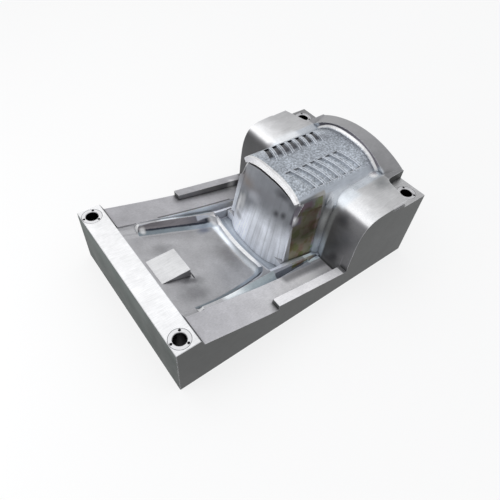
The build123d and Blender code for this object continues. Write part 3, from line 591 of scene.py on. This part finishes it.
def rim_areas(settings):
    """Back rim and the two corner pads beside it."""
    ground, seat = settings.ground_colour, settings.seat_colour
    pad_length, pad_heights = (REAR_PAD_START, BACK), (REAR_PAD_TOP - 3, REAR_PAD_TOP + 3)
    return [
        Area("rim foot", (CORE_REAR - 9, CORE_REAR), (-236, 236), (RIM_LOW, 476), shade(ground, 1.0),
             0.3, soft=4),
        Area("rim wall", (CORE_REAR - 1, CORE_REAR + 3), (-236, 236), (RIM_LOW, RIM_HIGH),
             (0.26, 0.24, 0.27), 0.4, FRONT, (0.85, 0.98), soft=1, metal=0.5,
             fade=("Y", -120, 120, (0.08, 0.075, 0.09))),
        Area("rim top", (CORE_REAR, BACK), (-RIM_HALF, RIM_HALF), (386, RIM_HIGH), shade(seat, 0.5),
             0.42, turn=(0.5, 0.8), soft=1, fade=("Y", -210, -90, shade(seat, 0.62))),
        # near and far corner pads are one ground steel at two shades, the far one darker as painted shade
        Area("near corner pad", pad_length, (-OUT, -REAR_PAD_INNER), pad_heights,
             shade(ground, 0.68), 0.42, turn=LEVEL, soft=1),
        Area("far corner pad", pad_length, (REAR_PAD_INNER, OUT), pad_heights,
             shade(ground, 0.38), 0.42, turn=LEVEL, soft=1),
    ]


def strip_areas(settings):
    """Sloping strips with their ribs, and the outer sides."""
    side, strip, seat = settings.side_colour, settings.strip_colour, settings.seat_colour
    length, ribs = (STRIP_START, ARM_FOOT), (RIB_START, ARM_FOOT + 4)
    return [
        # one strip steel as lit and shaded copies: near strip and rib lighter, far strip and rib darker,
        # and the near strip lightening towards its rear as painted light
        Area("near strip", length, (-OUT, 6 - STRIP_INNER), STRIP_HEIGHTS, shade(strip, 0.9), 0.5,
             turn=LEVEL, fade=("X", 180, 700, shade(strip, 1.6)), metal=0.72),
        Area("far strip", length, (STRIP_INNER - 6, OUT), STRIP_HEIGHTS, shade(strip, 0.8), 0.5,
             turn=LEVEL, fade=("X", 200, 600, shade(strip, 0.98))),
        Area("near strip's inner shade", (585, ARM_FOOT), (-302, 6 - STRIP_INNER), (30, 140),
             shade(strip, 0.62), 0.5, turn=LEVEL, soft=14, metal=0.6),
        # painted shade line along the far strip's inner edge
        Area("far strip's inner line", (300, 700), (STRIP_INNER - 1, 277), (90, 240),
             shade(strip, 0.34), 0.5, turn=LEVEL),
        Area("near rib", ribs, (-OUT, 1 - RIB_INNER), (90, 180), shade(strip, 1.6), 0.48, turn=LEVEL,
             soft=1, metal=0.3),
        Area("far rib", ribs, (RIB_INNER - 1, OUT), (90, 180), shade(strip, 0.82), 0.48, turn=LEVEL,
             soft=1),
        Area("strip end gap", (STRIP_END - 1, ARM_FOOT + 1), (-OUT, OUT), (20, 130), shade(seat, 0.5),
             0.5, soft=1, metal=0.4),
        both_sides("outer side", (-2, BACK), (SIDE - 3, OUT), (-2, 420), side, 0.5, LEFT, STEEP,
                   soft=1),
        both_sides("rib wall", (RIB_START - 2, ARM_FOOT + 4), (RIB_INNER - 1.5, RIB_INNER + 1),
                   (60, 180), shade(strip, 0.5), 0.4, soft=0.8),
        both_sides("rib end", (RIB_START - 2, RIB_START + 2), (RIB_INNER - 1, OUT - 3), (60, 180),
                   shade(side, 0.9), 0.4, FRONT, (0.5, 0.8), soft=0.8),
    ]


def rail_areas():
    """Rails, dark above a dark line and a light round, and the channel and pocket behind them."""
    channel, behind = (205, 267), (0, 1, 1)
    return [
        both_sides("rail round", (RAIL_START, SEAT_END), (150, RAIL_OUTER), (60, 240),
                   (0.23, 0.27, 0.30), 0.34, RIGHT, (0.1, 0.3), fade=("X", 380, 450, (0.36, 0.41, 0.47))),
        both_sides("rail line", (RAIL_START, SEAT_END - 10), (175, RAIL_OUTER), (80, 216),
                   (0.05, 0.055, 0.07), 0.4, RIGHT, (0.62, 0.72)),
        both_sides("rail flank", (RAIL_START, SEAT_END - 20), (185, RAIL_OUTER), (100, 216),
                   (0.27, 0.255, 0.27), 0.42, RIGHT, (0.80, 0.84),
                   fade=("X", 380, 520, (0.15, 0.15, 0.175))),
        both_sides("rail crown", (470, SEAT_END), (196, RAIL_OUTER), (120, 150), (0.52, 0.55, 0.61),
                   0.4, RIGHT, (0.6, 0.75), soft=4, metal=0.6),
        # painted highlight on the rail ends, in white non-metal
        both_sides("rail end", (RAIL_START - 6, 222), (200, RAIL_OUTER), (150, 216), WHITE, 0.5,
                   FRONT, ROUNDING, soft=1, metal=0.1),
        # painted highlight along the channel crest
        both_sides("channel crest", (285, POCKET_START - 20), channel, CHANNEL_HEIGHTS,
                   (0.92, 0.97, 1.0), 0.36, behind, (0.78, 0.84), soft=3, metal=0.3),
        both_sides("channel flank", (200, POCKET_START + 2), channel, CHANNEL_HEIGHTS,
                   (0.46, 0.53, 0.56), 0.36, behind, (0.90, 0.95), soft=3, metal=0.7),
        both_sides("pocket", (POCKET_START, POCKET_END - 16), (212, 267), (40, 128),
                   (0.34, 0.36, 0.41), 0.4, soft=3, metal=0.3),
        both_sides("channel wall", (196, STRIP_END), (251, 267.5), CHANNEL_HEIGHTS,
                   (0.86, 0.90, 0.98), 0.45, RIGHT, (0.6, 0.9), soft=1, metal=0.1),
        both_sides("core ledge", (POCKET_START - 14, 826), (200, 231), (50, 135), (0.80, 0.83, 0.90),
                   0.34, turn=CLOSE, metal=0.6, fade=("X", 650, 700, (0.60, 0.65, 0.70))),
        both_sides("channel end", (POCKET_END - 20, 845), (205, 256), (30, 130), (0.85, 0.95, 1.0),
                   0.4, soft=6, metal=0.1),
    ]


def corner_areas(settings):
    """Core sides with their painted brown reflection, the blends between core and arms with painted
    highlights on them, the rim's flanks and the upright edges.
    """
    side, polish, reflection_tint = settings.side_colour, settings.polish_colour, settings.reflection_tint_colour
    corner = (CORNER_LOW, CORNER_HIGH)
    return [
        # the core sides' brown tint is a painted reflection, lighter low down and darker towards the top
        both_sides("core side", (688, 836), (172, 240), (64, 404), shade(reflection_tint, 2.0), 0.4, LEFT,
                   (0.6, 0.9), soft=1.5, fade=("Z", 110, 230, shade(reflection_tint, 0.58)), metal=0.6),
        both_sides("core brow", (715, 850), (168, 215), (356, 420), (0.16, 0.17, 0.18), 0.4, LEFT,
                   HALF_TURNED, soft=4, fade=("X", 765, 830, (0.36, 0.355, 0.34)), metal=0.8),
        both_sides("corner blend foot", (818, 900), (186, 250), (40, 345), (0.50, 0.56, 0.63), 0.38,
                   soft=6, fade=("Z", 120, 230, (0.20, 0.205, 0.205)), metal=0.35),
        both_sides("corner blend", (845, 1170), (190, 232), (340, 420), shade(polish, 0.6), 0.26,
                   soft=8, fade=("X", 865, 890, shade(polish, 0.9))),
        # painted highlights on the blends between core and arms
        Area("near blend light", (884, 990), (-262, -208), corner, (0.74, 0.78, 0.82), 0.3, soft=16,
             metal=0.5),
        Area("far blend light", (925, 1050), (190, 244), corner, (0.90, 0.92, 0.94), 0.3, soft=18,
             metal=0.3),
        both_sides("rim flank", (1150, BACK), (225, 266), (REAR_PAD_TOP, 410), shade(side, 0.4), 0.4,
                   LEFT, (0.5, 0.8)),
        both_sides("upright edge", (-2, 7), (SIDE - 7, OUT), (-2, BAR_TOP - 3), shade(side, 0.8), 0.5,
                   (-1, 1, 0), (0.8, 0.9), soft=1),
        # painted shade in the near corner under the arch's end
        Area("near wall corner", (676, 732), (-200, -164), (296, 392), (0.14, 0.13, 0.155), 0.4,
             soft=4, metal=0.7),
    ]


def block_areas(settings):
    """All machined areas of the block, in the order in which one lies over the other."""
    return (end_and_bar_areas(settings) + seat_areas(settings) + arm_areas(settings)
            + core_areas(settings) + rim_areas(settings) + strip_areas(settings) + rail_areas()
            + corner_areas(settings))


def soft_spots():
    """Smudges, painted shadows and painted highlights: place and reach in millimetres, strength and
    colour.
    """
    dark, grey, shadow = (0.05, 0.05, 0.056), (0.2, 0.2, 0.215), (0.10, 0.10, 0.12)
    seat = (
        ((482, -35, 96), (75, 110, 200), 0.30, (0.10, 0.08, 0.075)),
        ((480, 165, 94), (50, 35, 50), 0.7, (0.15, 0.18, 0.26)),
        ((300, 40, 140), (100, 150, 200), 0.10, dark),
        ((225, -150, 162), (110, 75, 60), 0.38, dark),
        ((225, 125, 162), (90, 50, 60), 0.34, dark),
        # painted shadow of the shut-off pad on the seat beside its near side
        ((242, -86, 157), (50, 28, 30), 0.60, dark),
        ((284, -98, 143), (45, 45, 30), 0.32, dark),
        # painted highlights on the bead's far corner and on the seat in front of the far rail's end
        ((548, 182, 112), (34, 36, 40), 0.85, WHITE),
        ((206, 243, 178), (18, 20, 30), 0.7, WHITE),
    )
    arms_and_arch = (
        # painted highlight on the far channel wall
        ((773, 354, 96), (34, 34, 50), 0.95, WHITE),
        # painted shade in the corner between the core and the near arm
        ((855, -211, 335), (32, 30, 50), 0.6, dark),
        ((836, -211, 195), (22, 22, 60), 0.45, dark),
        ((900, 238, 366), (28, 28, 30), 0.65, (0.30, 0.30, 0.32)),
        ((870, 85, 455), (140, 60, 50), 0.5, shadow),
        ((1060, 70, 456), (60, 60, 50), 0.4, shadow),
        ((1118, -262, 397), (75, 60, 50), 0.7, (0.17, 0.18, 0.185)),
        # painted highlight where the near blend runs round the rear
        ((1128, -204, 398), (30, 24, 30), 0.85, WHITE),
        ((875, -288, 322), (60, 60, 45), 0.75, dark),
        ((856, -318, 118), (50, 40, 60), 0.5, dark),
    )
    front_wall = (
        ((672, -94, 312), (100, 22, 26), 0.85, dark),
        ((680, -128, 322), (100, 20, 26), 0.85, dark),
        # painted light patch on the lit far part of the front wall
        ((655, 142, 196), (100, 26, 80), 0.7, WHITE),
        ((641, 114, 152), (100, 50, 24), 0.55, grey),
        # painted light patch higher up on the lit far part of the front wall
        ((660, 112, 230), (100, 28, 80), 0.35, WHITE),
        ((707, -158, 383), (50, 36, 36), 0.55, dark),
        # painted highlight at the near corner of the wall
        ((696, -184, 322), (24, 16, 30), 0.7, (0.8, 0.8, 0.82)),
        ((676, 120, 330), (100, 100, 50), 0.5, (0.20, 0.15, 0.12)),
        ((676, 55, 300), (100, 60, 40), 0.4, (0.62, 0.64, 0.70)),
        # painted shade under the lip
        ((694, -95, 402), (100, 85, 35), 0.8, dark),
        ((676, -30, 350), (100, 100, 35), 0.4, grey),
    )
    return seat + arms_and_arch + front_wall


def lay_areas(bench, position, normal, settings):
    """Colour and finish of the block, laid area by area, and the mask of each area by its name."""
    left_position, left_normal = bench.group(mirrored_halves(), Position=position, Normal=normal)
    colour, finish, masks = settings.seat_colour, packed(0.42), {}
    for area in block_areas(settings):
        place, way = (left_position, left_normal) if area.mirrored else (position, normal)
        mask = bench.group(part_region(), Position=place, Normal=way, Low=area.low, High=area.high,
                           Softness=area.soft, Facing=area.facing, Facing_From=area.turn[0],
                           Facing_To=area.turn[1])["Mask"]
        mask.node.label = area.name
        masks[area.name] = mask
        tone = area.colour
        if area.fade:
            tone = bench.tint(bench.fade(position, *area.fade[:3]), area.colour, area.fade[3])
        colour = bench.tint(mask, colour, tone)
        finish = bench.tint(mask, finish, area.finish)
    return colour, finish, masks


def light_wall(bench, position, wall_mask, wall, colour, finish):
    """Lit part of the front wall, less bright towards its right side, and streaks that fan down it."""
    lit_share = bench.product(wall_mask, bench.group(wall_light(), Position=position)["Lit"])
    lit_colour = bench.tint(bench.fade(position, "Y", 80, -190), wall, shade(wall, 0.72))
    colour = bench.tint(lit_share, colour, lit_colour)
    finish = bench.tint(lit_share, finish, packed(0.6, 0.05))
    streaks = bench.group(wall_streaks(), Position=position)["Streaks"]
    streak_share = bench.product(bench.ramp(lit_share, 0.0, 1.0, 0.25, 1.0), wall_mask)
    return bench.tint(streak_share, colour, streaks, "MULTIPLY"), finish


def mottle_reflection_on_sides(bench, position, side_mask, colour):
    """Painted brown reflection on the sides of the tall core, mottled in two tints."""
    for scale, reflection_mottle in ((17.0, (0.95, 0.62, 0.70)), (23.0, (0.62, 0.74, 0.40))):
        blots = bench.ramp(bench.noise(position, scale, 2.0), 0.46, 0.6, 0.0, 0.9)
        colour = bench.tint(bench.product(blots, side_mask), colour, reflection_mottle, "MULTIPLY")
    return colour


def finish_arch(bench, position, masks, stipple, colour, finish):
    """Stippled arch with painted shade on the floors of its far vent slots and painted highlights on the
    ribs between the slots.
    """
    colour = bench.tint(masks["stippled arch"], colour, stipple, "MULTIPLY")
    slots = bench.group(vent_slots(), Position=position)
    far_arch = bench.product(masks["arch"], bench.fade(position, "Y", 60, 80))
    # painted shade on the floors of the far vent slots
    shaded_floors = bench.product(slots["Floor"], far_arch)
    colour = bench.tint(shaded_floors, colour, (0.08, 0.08, 0.09), "MULTIPLY")
    # painted highlights on the slots' edges
    colour = bench.tint(slots["Edge"], colour, (0.80, 0.86, 0.94))
    return colour, bench.tint(slots["Edge"], finish, packed(0.6, 0.35))


def cloud_and_grain(bench, grain, cross_grain, colour):
    """Broad clouding and fine grain in the colour, along the block and across it."""
    wear = (bench.spread(grain["Cloud"], 0.86, 1.12),
            bench.spread(cross_grain["Cloud"], 0.96, 1.04),
            bench.spread(grain["Fine"], 0.88, 1.10),
            bench.spread(cross_grain["Fine"], 0.98, 1.02))
    return bench.tint(1.0, colour, bench.product(*wear), "MULTIPLY")


def smudges_shadows_and_highlights(bench, position, colour):
    """All smudges, painted shadows and painted highlights, one over the other."""
    for place, reach, strength, tone in soft_spots():
        spot = bench.group(spot_mask(), Position=position, Centre=point_mm(*place),
                           Reach=tuple(length / 1000 for length in reach))["Mask"]
        colour = bench.tint(bench.product(spot, strength), colour, tone)
    return colour


def shade_corners_and_light_edges(bench, position, masks, settings, colour):
    """Painted shade in the inner corners and bright rubbed edges with a painted highlight, both weak on
    the large plain faces.
    """
    edge = bench.group(edge_band(), Position=position, Width=settings.edge_width)["Mask"]
    calm = bench.highest(masks["outer side"], masks["front end"], masks["front wall"])
    left = bench.ramp(calm, 0.0, 1.0, 1.0, 0.15)
    painted_shade = bench.group(corner_shade())["Mask"]
    unshaded = bench.ramp(painted_shade, 0.0, 0.35, 1.0, 0.0)
    edge_share = bench.product(edge, left, unshaded)
    # painted shade in the inner corners
    colour = bench.tint(bench.product(painted_shade, left, 0.55), colour, (0.09, 0.09, 0.10), "MULTIPLY")
    # bright rubbed edges with a painted highlight
    return bench.tint(edge_share, colour, settings.rubbed_and_lit_edge_colour)


def block_relief(bench, position, stipple_mask, stipple, grain):
    """Cutter marks, grain and stipple as fine relief."""
    marks = bench.group(cutter_marks(), Position=position, Across=(1, 0, 0.2), Pitch=0.0026)["Height"]
    stippled = bench.product(stipple, stipple_mask, 2.5)
    lines = bench.math("MULTIPLY_ADD", marks, 0.3, bench.product(grain["Fine"], 0.45))
    return bench.relief(0.11, 0.0008, bench.math("ADD", lines, stippled))


def build_block_steel(settings):
    """Steel of the one-piece block, with a finish of its own for each machined area."""
    material, bench, steel, place = new_steel("mould_block_steel")
    position = place["Object"]
    colour, finish, masks = lay_areas(bench, position, place["Normal"], settings)
    colour, finish = light_wall(bench, position, masks["front wall"], settings.wall_colour, colour,
                                finish)
    # painted brown reflection, mottled over the core sides
    colour = mottle_reflection_on_sides(bench, position, masks["core side"], colour)
    stipple = bench.group(arch_stipple(), Position=position)["Tone"]
    colour, finish = finish_arch(bench, position, masks, stipple, colour, finish)
    grain = bench.group(steel_grain(), Position=position, Stretch=(0.06, 1.0, 1.0), Fine_Scale=330.0,
                        Cloud_Scale=8.0)
    cross_grain = bench.group(steel_grain(), Position=position, Stretch=(1.0, 0.06, 1.0),
                              Fine_Scale=330.0, Cloud_Scale=23.0)
    colour = cloud_and_grain(bench, grain, cross_grain, colour)
    colour = smudges_shadows_and_highlights(bench, position, colour)
    colour = shade_corners_and_light_edges(bench, position, masks, settings, colour)
    # the colour takes a trace of the roughness, so that the renderer works both chains out together
    rough, metal = bench.node("ShaderNodeSeparateColor", in_0=finish).outputs[:2]
    colour = bench.tint(1.0, colour, bench.ramp(rough, 0.2, 0.7, 0.985, 1.0), "MULTIPLY")
    uneven = bench.spread(grain["Cloud"], -0.05, 0.07)
    bench.feed(steel, "Base Color", colour)
    bench.feed(steel, "Metallic", metal)
    bench.feed(steel, "Roughness", bench.math("ADD", rough, uneven, clamp=True))
    bench.feed(steel, "Normal", block_relief(bench, position, masks["stippled arch"], stipple, grain))
    return material


class MOULD_OT_core_block(bpy.types.Operator):
    """Finish the one-piece core block area by area"""

    bl_idname = "mould.core_block"
    bl_label = "Core block"

    def execute(self, context):
        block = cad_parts["core_block"]
        block.data.materials.clear()
        block.data.materials.append(build_block_steel(context.scene.mould_steel))
        return {"FINISHED"}


# guide bushes


def build_bush_steel(name, centre, settings):
    """Turned and ground steel with rings round the bush's own axis, painted shade in its bore and a dark
    flange rim.
    """
    material, bench, steel, place = new_steel("bush_steel_" + name)
    apart = bench.vector("SUBTRACT", place["Object"], centre)
    radius = bench.vector("LENGTH", bench.vector("MULTIPLY", apart, (1, 1, 0)))
    grain = bench.group(steel_grain(), Position=bench.joined(x=radius), Stretch=WHITE,
                        Fine_Scale=2600.0, Cloud_Scale=40.0)
    inside = bench.ramp(radius, settings.bore_radius + BUSH_LINE, settings.bore_radius - BUSH_LINE,
                        smooth=True)
    outside = bench.ramp(radius, settings.rim_radius - BUSH_LINE, settings.rim_radius + BUSH_LINE,
                         0.0, 0.85, smooth=True)
    rings = bench.spread(grain["Fine"], 0.82, 1.1)
    colour = bench.tint(1.0, settings.ring_colour, rings, "MULTIPLY")
    # painted shade in the bore, then the dark rim of the flange
    for share in (inside, outside):
        colour = bench.tint(share, colour, settings.bore_shade_and_rim_colour)
    edge = bench.group(edge_band(), Position=place["Object"], Width=0.0008)["Mask"]
    colour = bench.tint(bench.product(edge, 0.5), colour, (0.5, 0.5, 0.5))
    bench.feed(steel, "Base Color", colour)
    bench.feed(steel, "Roughness", bench.spread(grain["Fine"], 0.26, 0.38))
    bench.feed(steel, "Normal", bench.relief(0.15, 0.0002, grain["Fine"]))
    return material


class MOULD_OT_guide_bushes(bpy.types.Operator):
    """Finish the flanged guide bushes"""

    bl_idname = "mould.guide_bushes"
    bl_label = "Guide bushes"

    def execute(self, context):
        for name in BUSHES:
            low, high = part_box(name)
            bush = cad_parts[name]
            bush.data.materials.clear()
            bush.data.materials.append(
                build_bush_steel(name, (low + high) / 2, context.scene.mould_bush))
        return {"FINISHED"}


# flange screws


def build_screw_steel(settings):
    """Blackened steel with a worn shine on the edges."""
    material, bench, steel, place = new_steel("blackened_screw_steel")
    grain = bench.group(steel_grain(), Position=place["Object"], Fine_Scale=1500.0, Cloud_Scale=120.0)
    edge = bench.group(edge_band(), Position=place["Object"], Width=0.0004)["Mask"]
    cloud = bench.spread(grain["Cloud"], 0.7, 1.4)
    colour = bench.tint(1.0, settings.colour, cloud, "MULTIPLY")
    bench.feed(steel, "Base Color", bench.tint(edge, colour, (0.18, 0.18, 0.18)))
    bench.feed(steel, "Roughness", bench.spread(grain["Fine"], 0.3, 0.5))
    return material


def screw_sizes(settings):
    """Sizes of the cap screws, from the settings and the CAD's first screw."""
    low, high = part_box(SCREWS[0])
    return {
        "Head Radius": (high.x - low.x) / 2,
        "Head Height": settings.head_height,
        "Length": high.z - low.z,
        "Core Radius": settings.core_diameter / 2,
        "Thread Radius": settings.thread_diameter / 2,
        "Pitch": settings.thread_pitch,
        "Socket Radius": settings.socket_width / 3 ** 0.5,
        "Socket Depth": settings.socket_depth,
        "Chamfer": settings.chamfer,
    }


def cap_screw_nodes(labels, material):
    """Geometry nodes that set one detailed cap screw on every point of the input mesh."""
    tree = bpy.data.node_groups.new("Cap Screws", "GeometryNodeTree")
    face = tree.interface
    face.new_socket(name="Geometry", in_out="INPUT", socket_type="NodeSocketGeometry")
    for label in labels:
        socket = face.new_socket(name=label, in_out="INPUT", socket_type="NodeSocketFloat")
        socket.subtype = "DISTANCE"
    face.new_socket(name="Geometry", in_out="OUTPUT", socket_type="NodeSocketGeometry")
    bench = Bench(tree)
    size = bench.node("NodeGroupInput").outputs

    def less(first, second):
        """One size less another."""
        return bench.math("SUBTRACT", size[first], size[second])

    def cylinder(sides, radius, height, top_radius=None):
        """Closed cylinder, or a cone cut off at its top, that stands on the origin."""
        top_radius = radius if top_radius is None else top_radius
        return bench.node("GeometryNodeMeshCone", fill_type="NGON", in_Vertices=sides,
                          in_Side_Segments=1, in_Radius_Top=top_radius, in_Radius_Bottom=radius,
                          in_Depth=height).outputs["Mesh"]

    def lifted(mesh, height):
        """The mesh, moved up."""
        return bench.node("GeometryNodeTransform", in_Geometry=mesh,
                          in_Translation=bench.joined(z=height)).outputs[0]

    # head: straight wall, chamfered rim and hexagon socket; the point is the top of the head
    wall_height = less("Head Height", "Chamfer")
    wall = cylinder(36, size["Head Radius"], wall_height)
    rim = cylinder(36, size["Head Radius"], size["Chamfer"], less("Head Radius", "Chamfer"))
    head = bench.node("GeometryNodeMeshBoolean", operation="UNION", solver="EXACT")
    for piece in (wall, lifted(rim, wall_height)):
        bench.feed(head, "Mesh 2", piece)
    hexagon = cylinder(6, size["Socket Radius"], bench.product(size["Socket Depth"], 2.0))
    pierced = bench.node("GeometryNodeMeshBoolean", operation="DIFFERENCE", solver="EXACT",
                         in_Mesh_1=head.outputs["Mesh"],
                         in_Mesh_2=lifted(hexagon, less("Head Height", "Socket Depth")))
    head_placed = lifted(pierced.outputs["Mesh"], bench.product(size["Head Height"], -1.0))

    # shank: plain core with one thread wound round it
    shank_length = less("Length", "Head Height")
    foot = bench.product(size["Length"], -1.0)
    core_placed = lifted(cylinder(20, size["Core Radius"], shank_length), foot)
    thread_length = bench.product(shank_length, 0.8)
    turns = bench.math("DIVIDE", thread_length, size["Pitch"])
    ridge = less("Thread Radius", "Core Radius")
    winding = bench.node("GeometryNodeCurveSpiral", in_Resolution=14, in_Rotations=turns,
                         in_Start_Radius=size["Core Radius"], in_End_Radius=size["Core Radius"],
                         in_Height=thread_length).outputs[0]
    profile = bench.node("GeometryNodeCurvePrimitiveCircle", mode="RADIUS", in_Resolution=4,
                         in_Radius=ridge).outputs[0]
    thread = bench.node("GeometryNodeCurveToMesh", in_Curve=winding, in_Profile_Curve=profile,
                        in_Fill_Caps=True).outputs[0]
    thread_placed = lifted(thread, bench.math("ADD", foot, ridge))

    screw = bench.node("GeometryNodeJoinGeometry")
    for piece in (head_placed, core_placed, thread_placed):
        bench.feed(screw, "Geometry", piece)
    placed = bench.node("GeometryNodeInstanceOnPoints", in_Points=size["Geometry"],
                        in_Instance=screw.outputs[0]).outputs[0]
    real = bench.node("GeometryNodeRealizeInstances", in_Geometry=placed).outputs[0]
    dressed = bench.node("GeometryNodeSetMaterial", in_Geometry=real, in_Material=material).outputs[0]
    bench.feed(bench.node("NodeGroupOutput"), "Geometry", dressed)
    return tree


class MOULD_OT_flange_screws(bpy.types.Operator):
    """Set a cap screw with its socket and thread in every flange hole"""

    bl_idname = "mould.flange_screws"
    bl_label = "Flange screws"

    def execute(self, context):
        settings = context.scene.mould_screw
        boxes = [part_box(name) for name in SCREWS]
        tops = [((low.x + high.x) / 2, (low.y + high.y) / 2, high.z) for low, high in boxes]
        points = bpy.data.meshes.new("screw_points")
        points.from_pydata(tops, [], [])
        holder = bpy.data.objects.new("screw_points", points)
        context.scene.collection.objects.link(holder)
        sizes = screw_sizes(settings)
        tree = cap_screw_nodes(sizes, build_screw_steel(settings))
        modifier = holder.modifiers.new("Cap screws", "NODES")
        modifier.node_group = tree
        for item in tree.interface.items_tree:
            if item.in_out == "INPUT" and item.name in sizes:
                modifier[item.identifier] = sizes[item.name]
        context.view_layer.update()
        result = holder.evaluated_get(context.evaluated_depsgraph_get())
        mesh = bpy.data.meshes.new_from_object(result)
        mesh.name = "flange_screws"
        screws = bpy.data.objects.new("flange_screws", mesh)
        context.scene.collection.objects.link(screws)
        bpy.data.objects.remove(holder)
        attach(screws, "root")
        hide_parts(*SCREWS)
        return {"FINISHED"}


# stage


def area_lamp(name, place, size, power):
    """A square soft lamp that points at the middle of the mould."""
    light = bpy.data.lights.new(name, "AREA")
    light.size, light.energy = size, power
    lamp = bpy.data.objects.new(name, light)
    lamp.location = place
    lamp.rotation_mode = "QUATERNION"
    lamp.rotation_quaternion = (Vector(LAMP_TARGET) - Vector(place)).to_track_quat("-Z", "Y")
    bpy.context.scene.collection.objects.link(lamp)
    return lamp


def build_floor(settings):
    """Pale floor that keeps a faint shadow of the mould."""
    half = settings.floor_size / 2
    corners = [(x * half, y * half, -FLOOR_DROP) for x, y in ((-1, -1), (1, -1), (1, 1), (-1, 1))]
    mesh = bpy.data.meshes.new("stage_floor")
    mesh.from_pydata(corners, [], [(0, 1, 2, 3)])
    floor = bpy.data.objects.new("stage_floor", mesh)
    bpy.context.scene.collection.objects.link(floor)
    material = bpy.data.materials.new("stage_floor")
    material.use_nodes = True
    tree = material.node_tree
    bench = Bench(tree)
    paint = tree.nodes["Principled BSDF"]
    for name, value in (("Base Color", settings.floor_colour), ("Roughness", 0.9),
                        ("Specular IOR Level", 0.0)):
        bench.feed(paint, name, value)
    glow = bench.node("ShaderNodeEmission", in_Color=WHITE, in_Strength=1.0).outputs[0]
    path = bench.node("ShaderNodeLightPath").outputs
    seen = bench.highest(path["Is Camera Ray"], path["Is Glossy Ray"], path["Is Transmission Ray"])
    blend = bench.node("ShaderNodeMixShader", in_0=bench.product(seen, 0.75), in_1=paint.outputs[0],
                       in_2=glow)
    bench.feed(tree.nodes["Material Output"], "Surface", blend.outputs[0])
    mesh.materials.append(material)


def build_surroundings(settings):
    """Studio surroundings: white low down, a wide soft ceiling light and greyer stretches between."""
    world = bpy.data.worlds.new("studio")
    bpy.context.scene.world = world
    world.use_nodes = True
    bench = Bench(world.node_tree)
    way = bench.node("ShaderNodeTexCoord").outputs["Generated"]
    ramp = bench.node("ShaderNodeValToRGB", in_0=bench.parts(way)[2])
    stops = ramp.color_ramp.elements
    stops[0].position, stops[0].color = 0.0, (1.0, 1.0, 1.0, 1.0)
    stops[1].position, stops[1].color = 1.0, (0.95, 0.97, 1.0, 1.0)
    for height, level in ((0.18, 1.0), (0.36, 0.62), (0.55, 0.68), (0.70, 1.0)):
        stops.new(height).color = (level, level, min(1.0, level * 1.03), 1.0)
    sky = world.node_tree.nodes["Background"]
    bench.feed(sky, "Color", ramp.outputs[0])
    bench.feed(sky, "Strength", settings.world_strength)


def place_camera(settings):
    """Camera at the photograph's viewing angle."""
    lens = bpy.data.cameras.new("view")
    lens.sensor_width, lens.lens = 36, settings.focal_length
    lens.clip_start, lens.clip_end = 0.05, 200
    camera = bpy.data.objects.new("view", lens)
    turn = Euler([radians(angle) for angle in CAMERA_TURN_DEGREES])
    camera.matrix_world = Matrix.Translation(CAMERA_PLACE) @ turn.to_matrix().to_4x4()
    bpy.context.scene.collection.objects.link(camera)
    bpy.context.scene.camera = camera


class MOULD_OT_stage(bpy.types.Operator):
    """Set up the floor, the lamps, the surroundings and the camera"""

    bl_idname = "mould.stage"
    bl_label = "Stage"

    def execute(self, context):
        settings = context.scene.mould_stage
        build_floor(settings)
        build_surroundings(settings)
        area_lamp("key_lamp", (-0.6, 1.6, 2.6), 2.2, settings.key_power)
        front_lamp = area_lamp("front_lamp", (-2.3, 0.4, 1.0), 1.2, settings.front_power)
        front_lamp.visible_glossy = False
        place_camera(settings)
        context.scene.view_settings.view_transform = "Standard"
        return {"FINISHED"}


# panel and start


class MOULD_PT_panel(bpy.types.Panel):
    """Steps and sizes of the mould's finish"""

    bl_idname = "MOULD_PT_panel"
    bl_label = "Armchair mould core"
    bl_space_type = "VIEW_3D"
    bl_region_type = "UI"
    bl_category = "Mould"

    def draw(self, context):
        layout = self.layout
        for step in STEPS:
            layout.operator(step.bl_idname)
        for label, group in (("Block steel", context.scene.mould_steel),
                             ("Guide bushes", context.scene.mould_bush),
                             ("Flange screws", context.scene.mould_screw),
                             ("Stage", context.scene.mould_stage)):
            box = layout.box()
            box.label(text=label)
            for name in group.__annotations__:
                box.prop(group, name)


STEPS = (MOULD_OT_core_block, MOULD_OT_guide_bushes, MOULD_OT_flange_screws, MOULD_OT_stage)
GROUPS = (
    ("mould_steel", MouldSteelSettings),
    ("mould_bush", MouldBushSettings),
    ("mould_screw", MouldScrewSettings),
    ("mould_stage", MouldStageSettings),
)


def register():
    for name, group in GROUPS:
        bpy.utils.register_class(group)
        setattr(bpy.types.Scene, name, bpy.props.PointerProperty(type=group))
    for step in STEPS:
        bpy.utils.register_class(step)
    bpy.utils.register_class(MOULD_PT_panel)


def unregister():
    bpy.utils.unregister_class(MOULD_PT_panel)
    for step in reversed(STEPS):
        bpy.utils.unregister_class(step)
    for name, group in reversed(GROUPS):
        delattr(bpy.types.Scene, name)
        bpy.utils.unregister_class(group)


def main():
    register()
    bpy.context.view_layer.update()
    bpy.ops.mould.core_block()
    bpy.ops.mould.guide_bushes()
    bpy.ops.mould.flange_screws()
    bpy.ops.mould.stage()


if __name__ == "__main__":
    main()
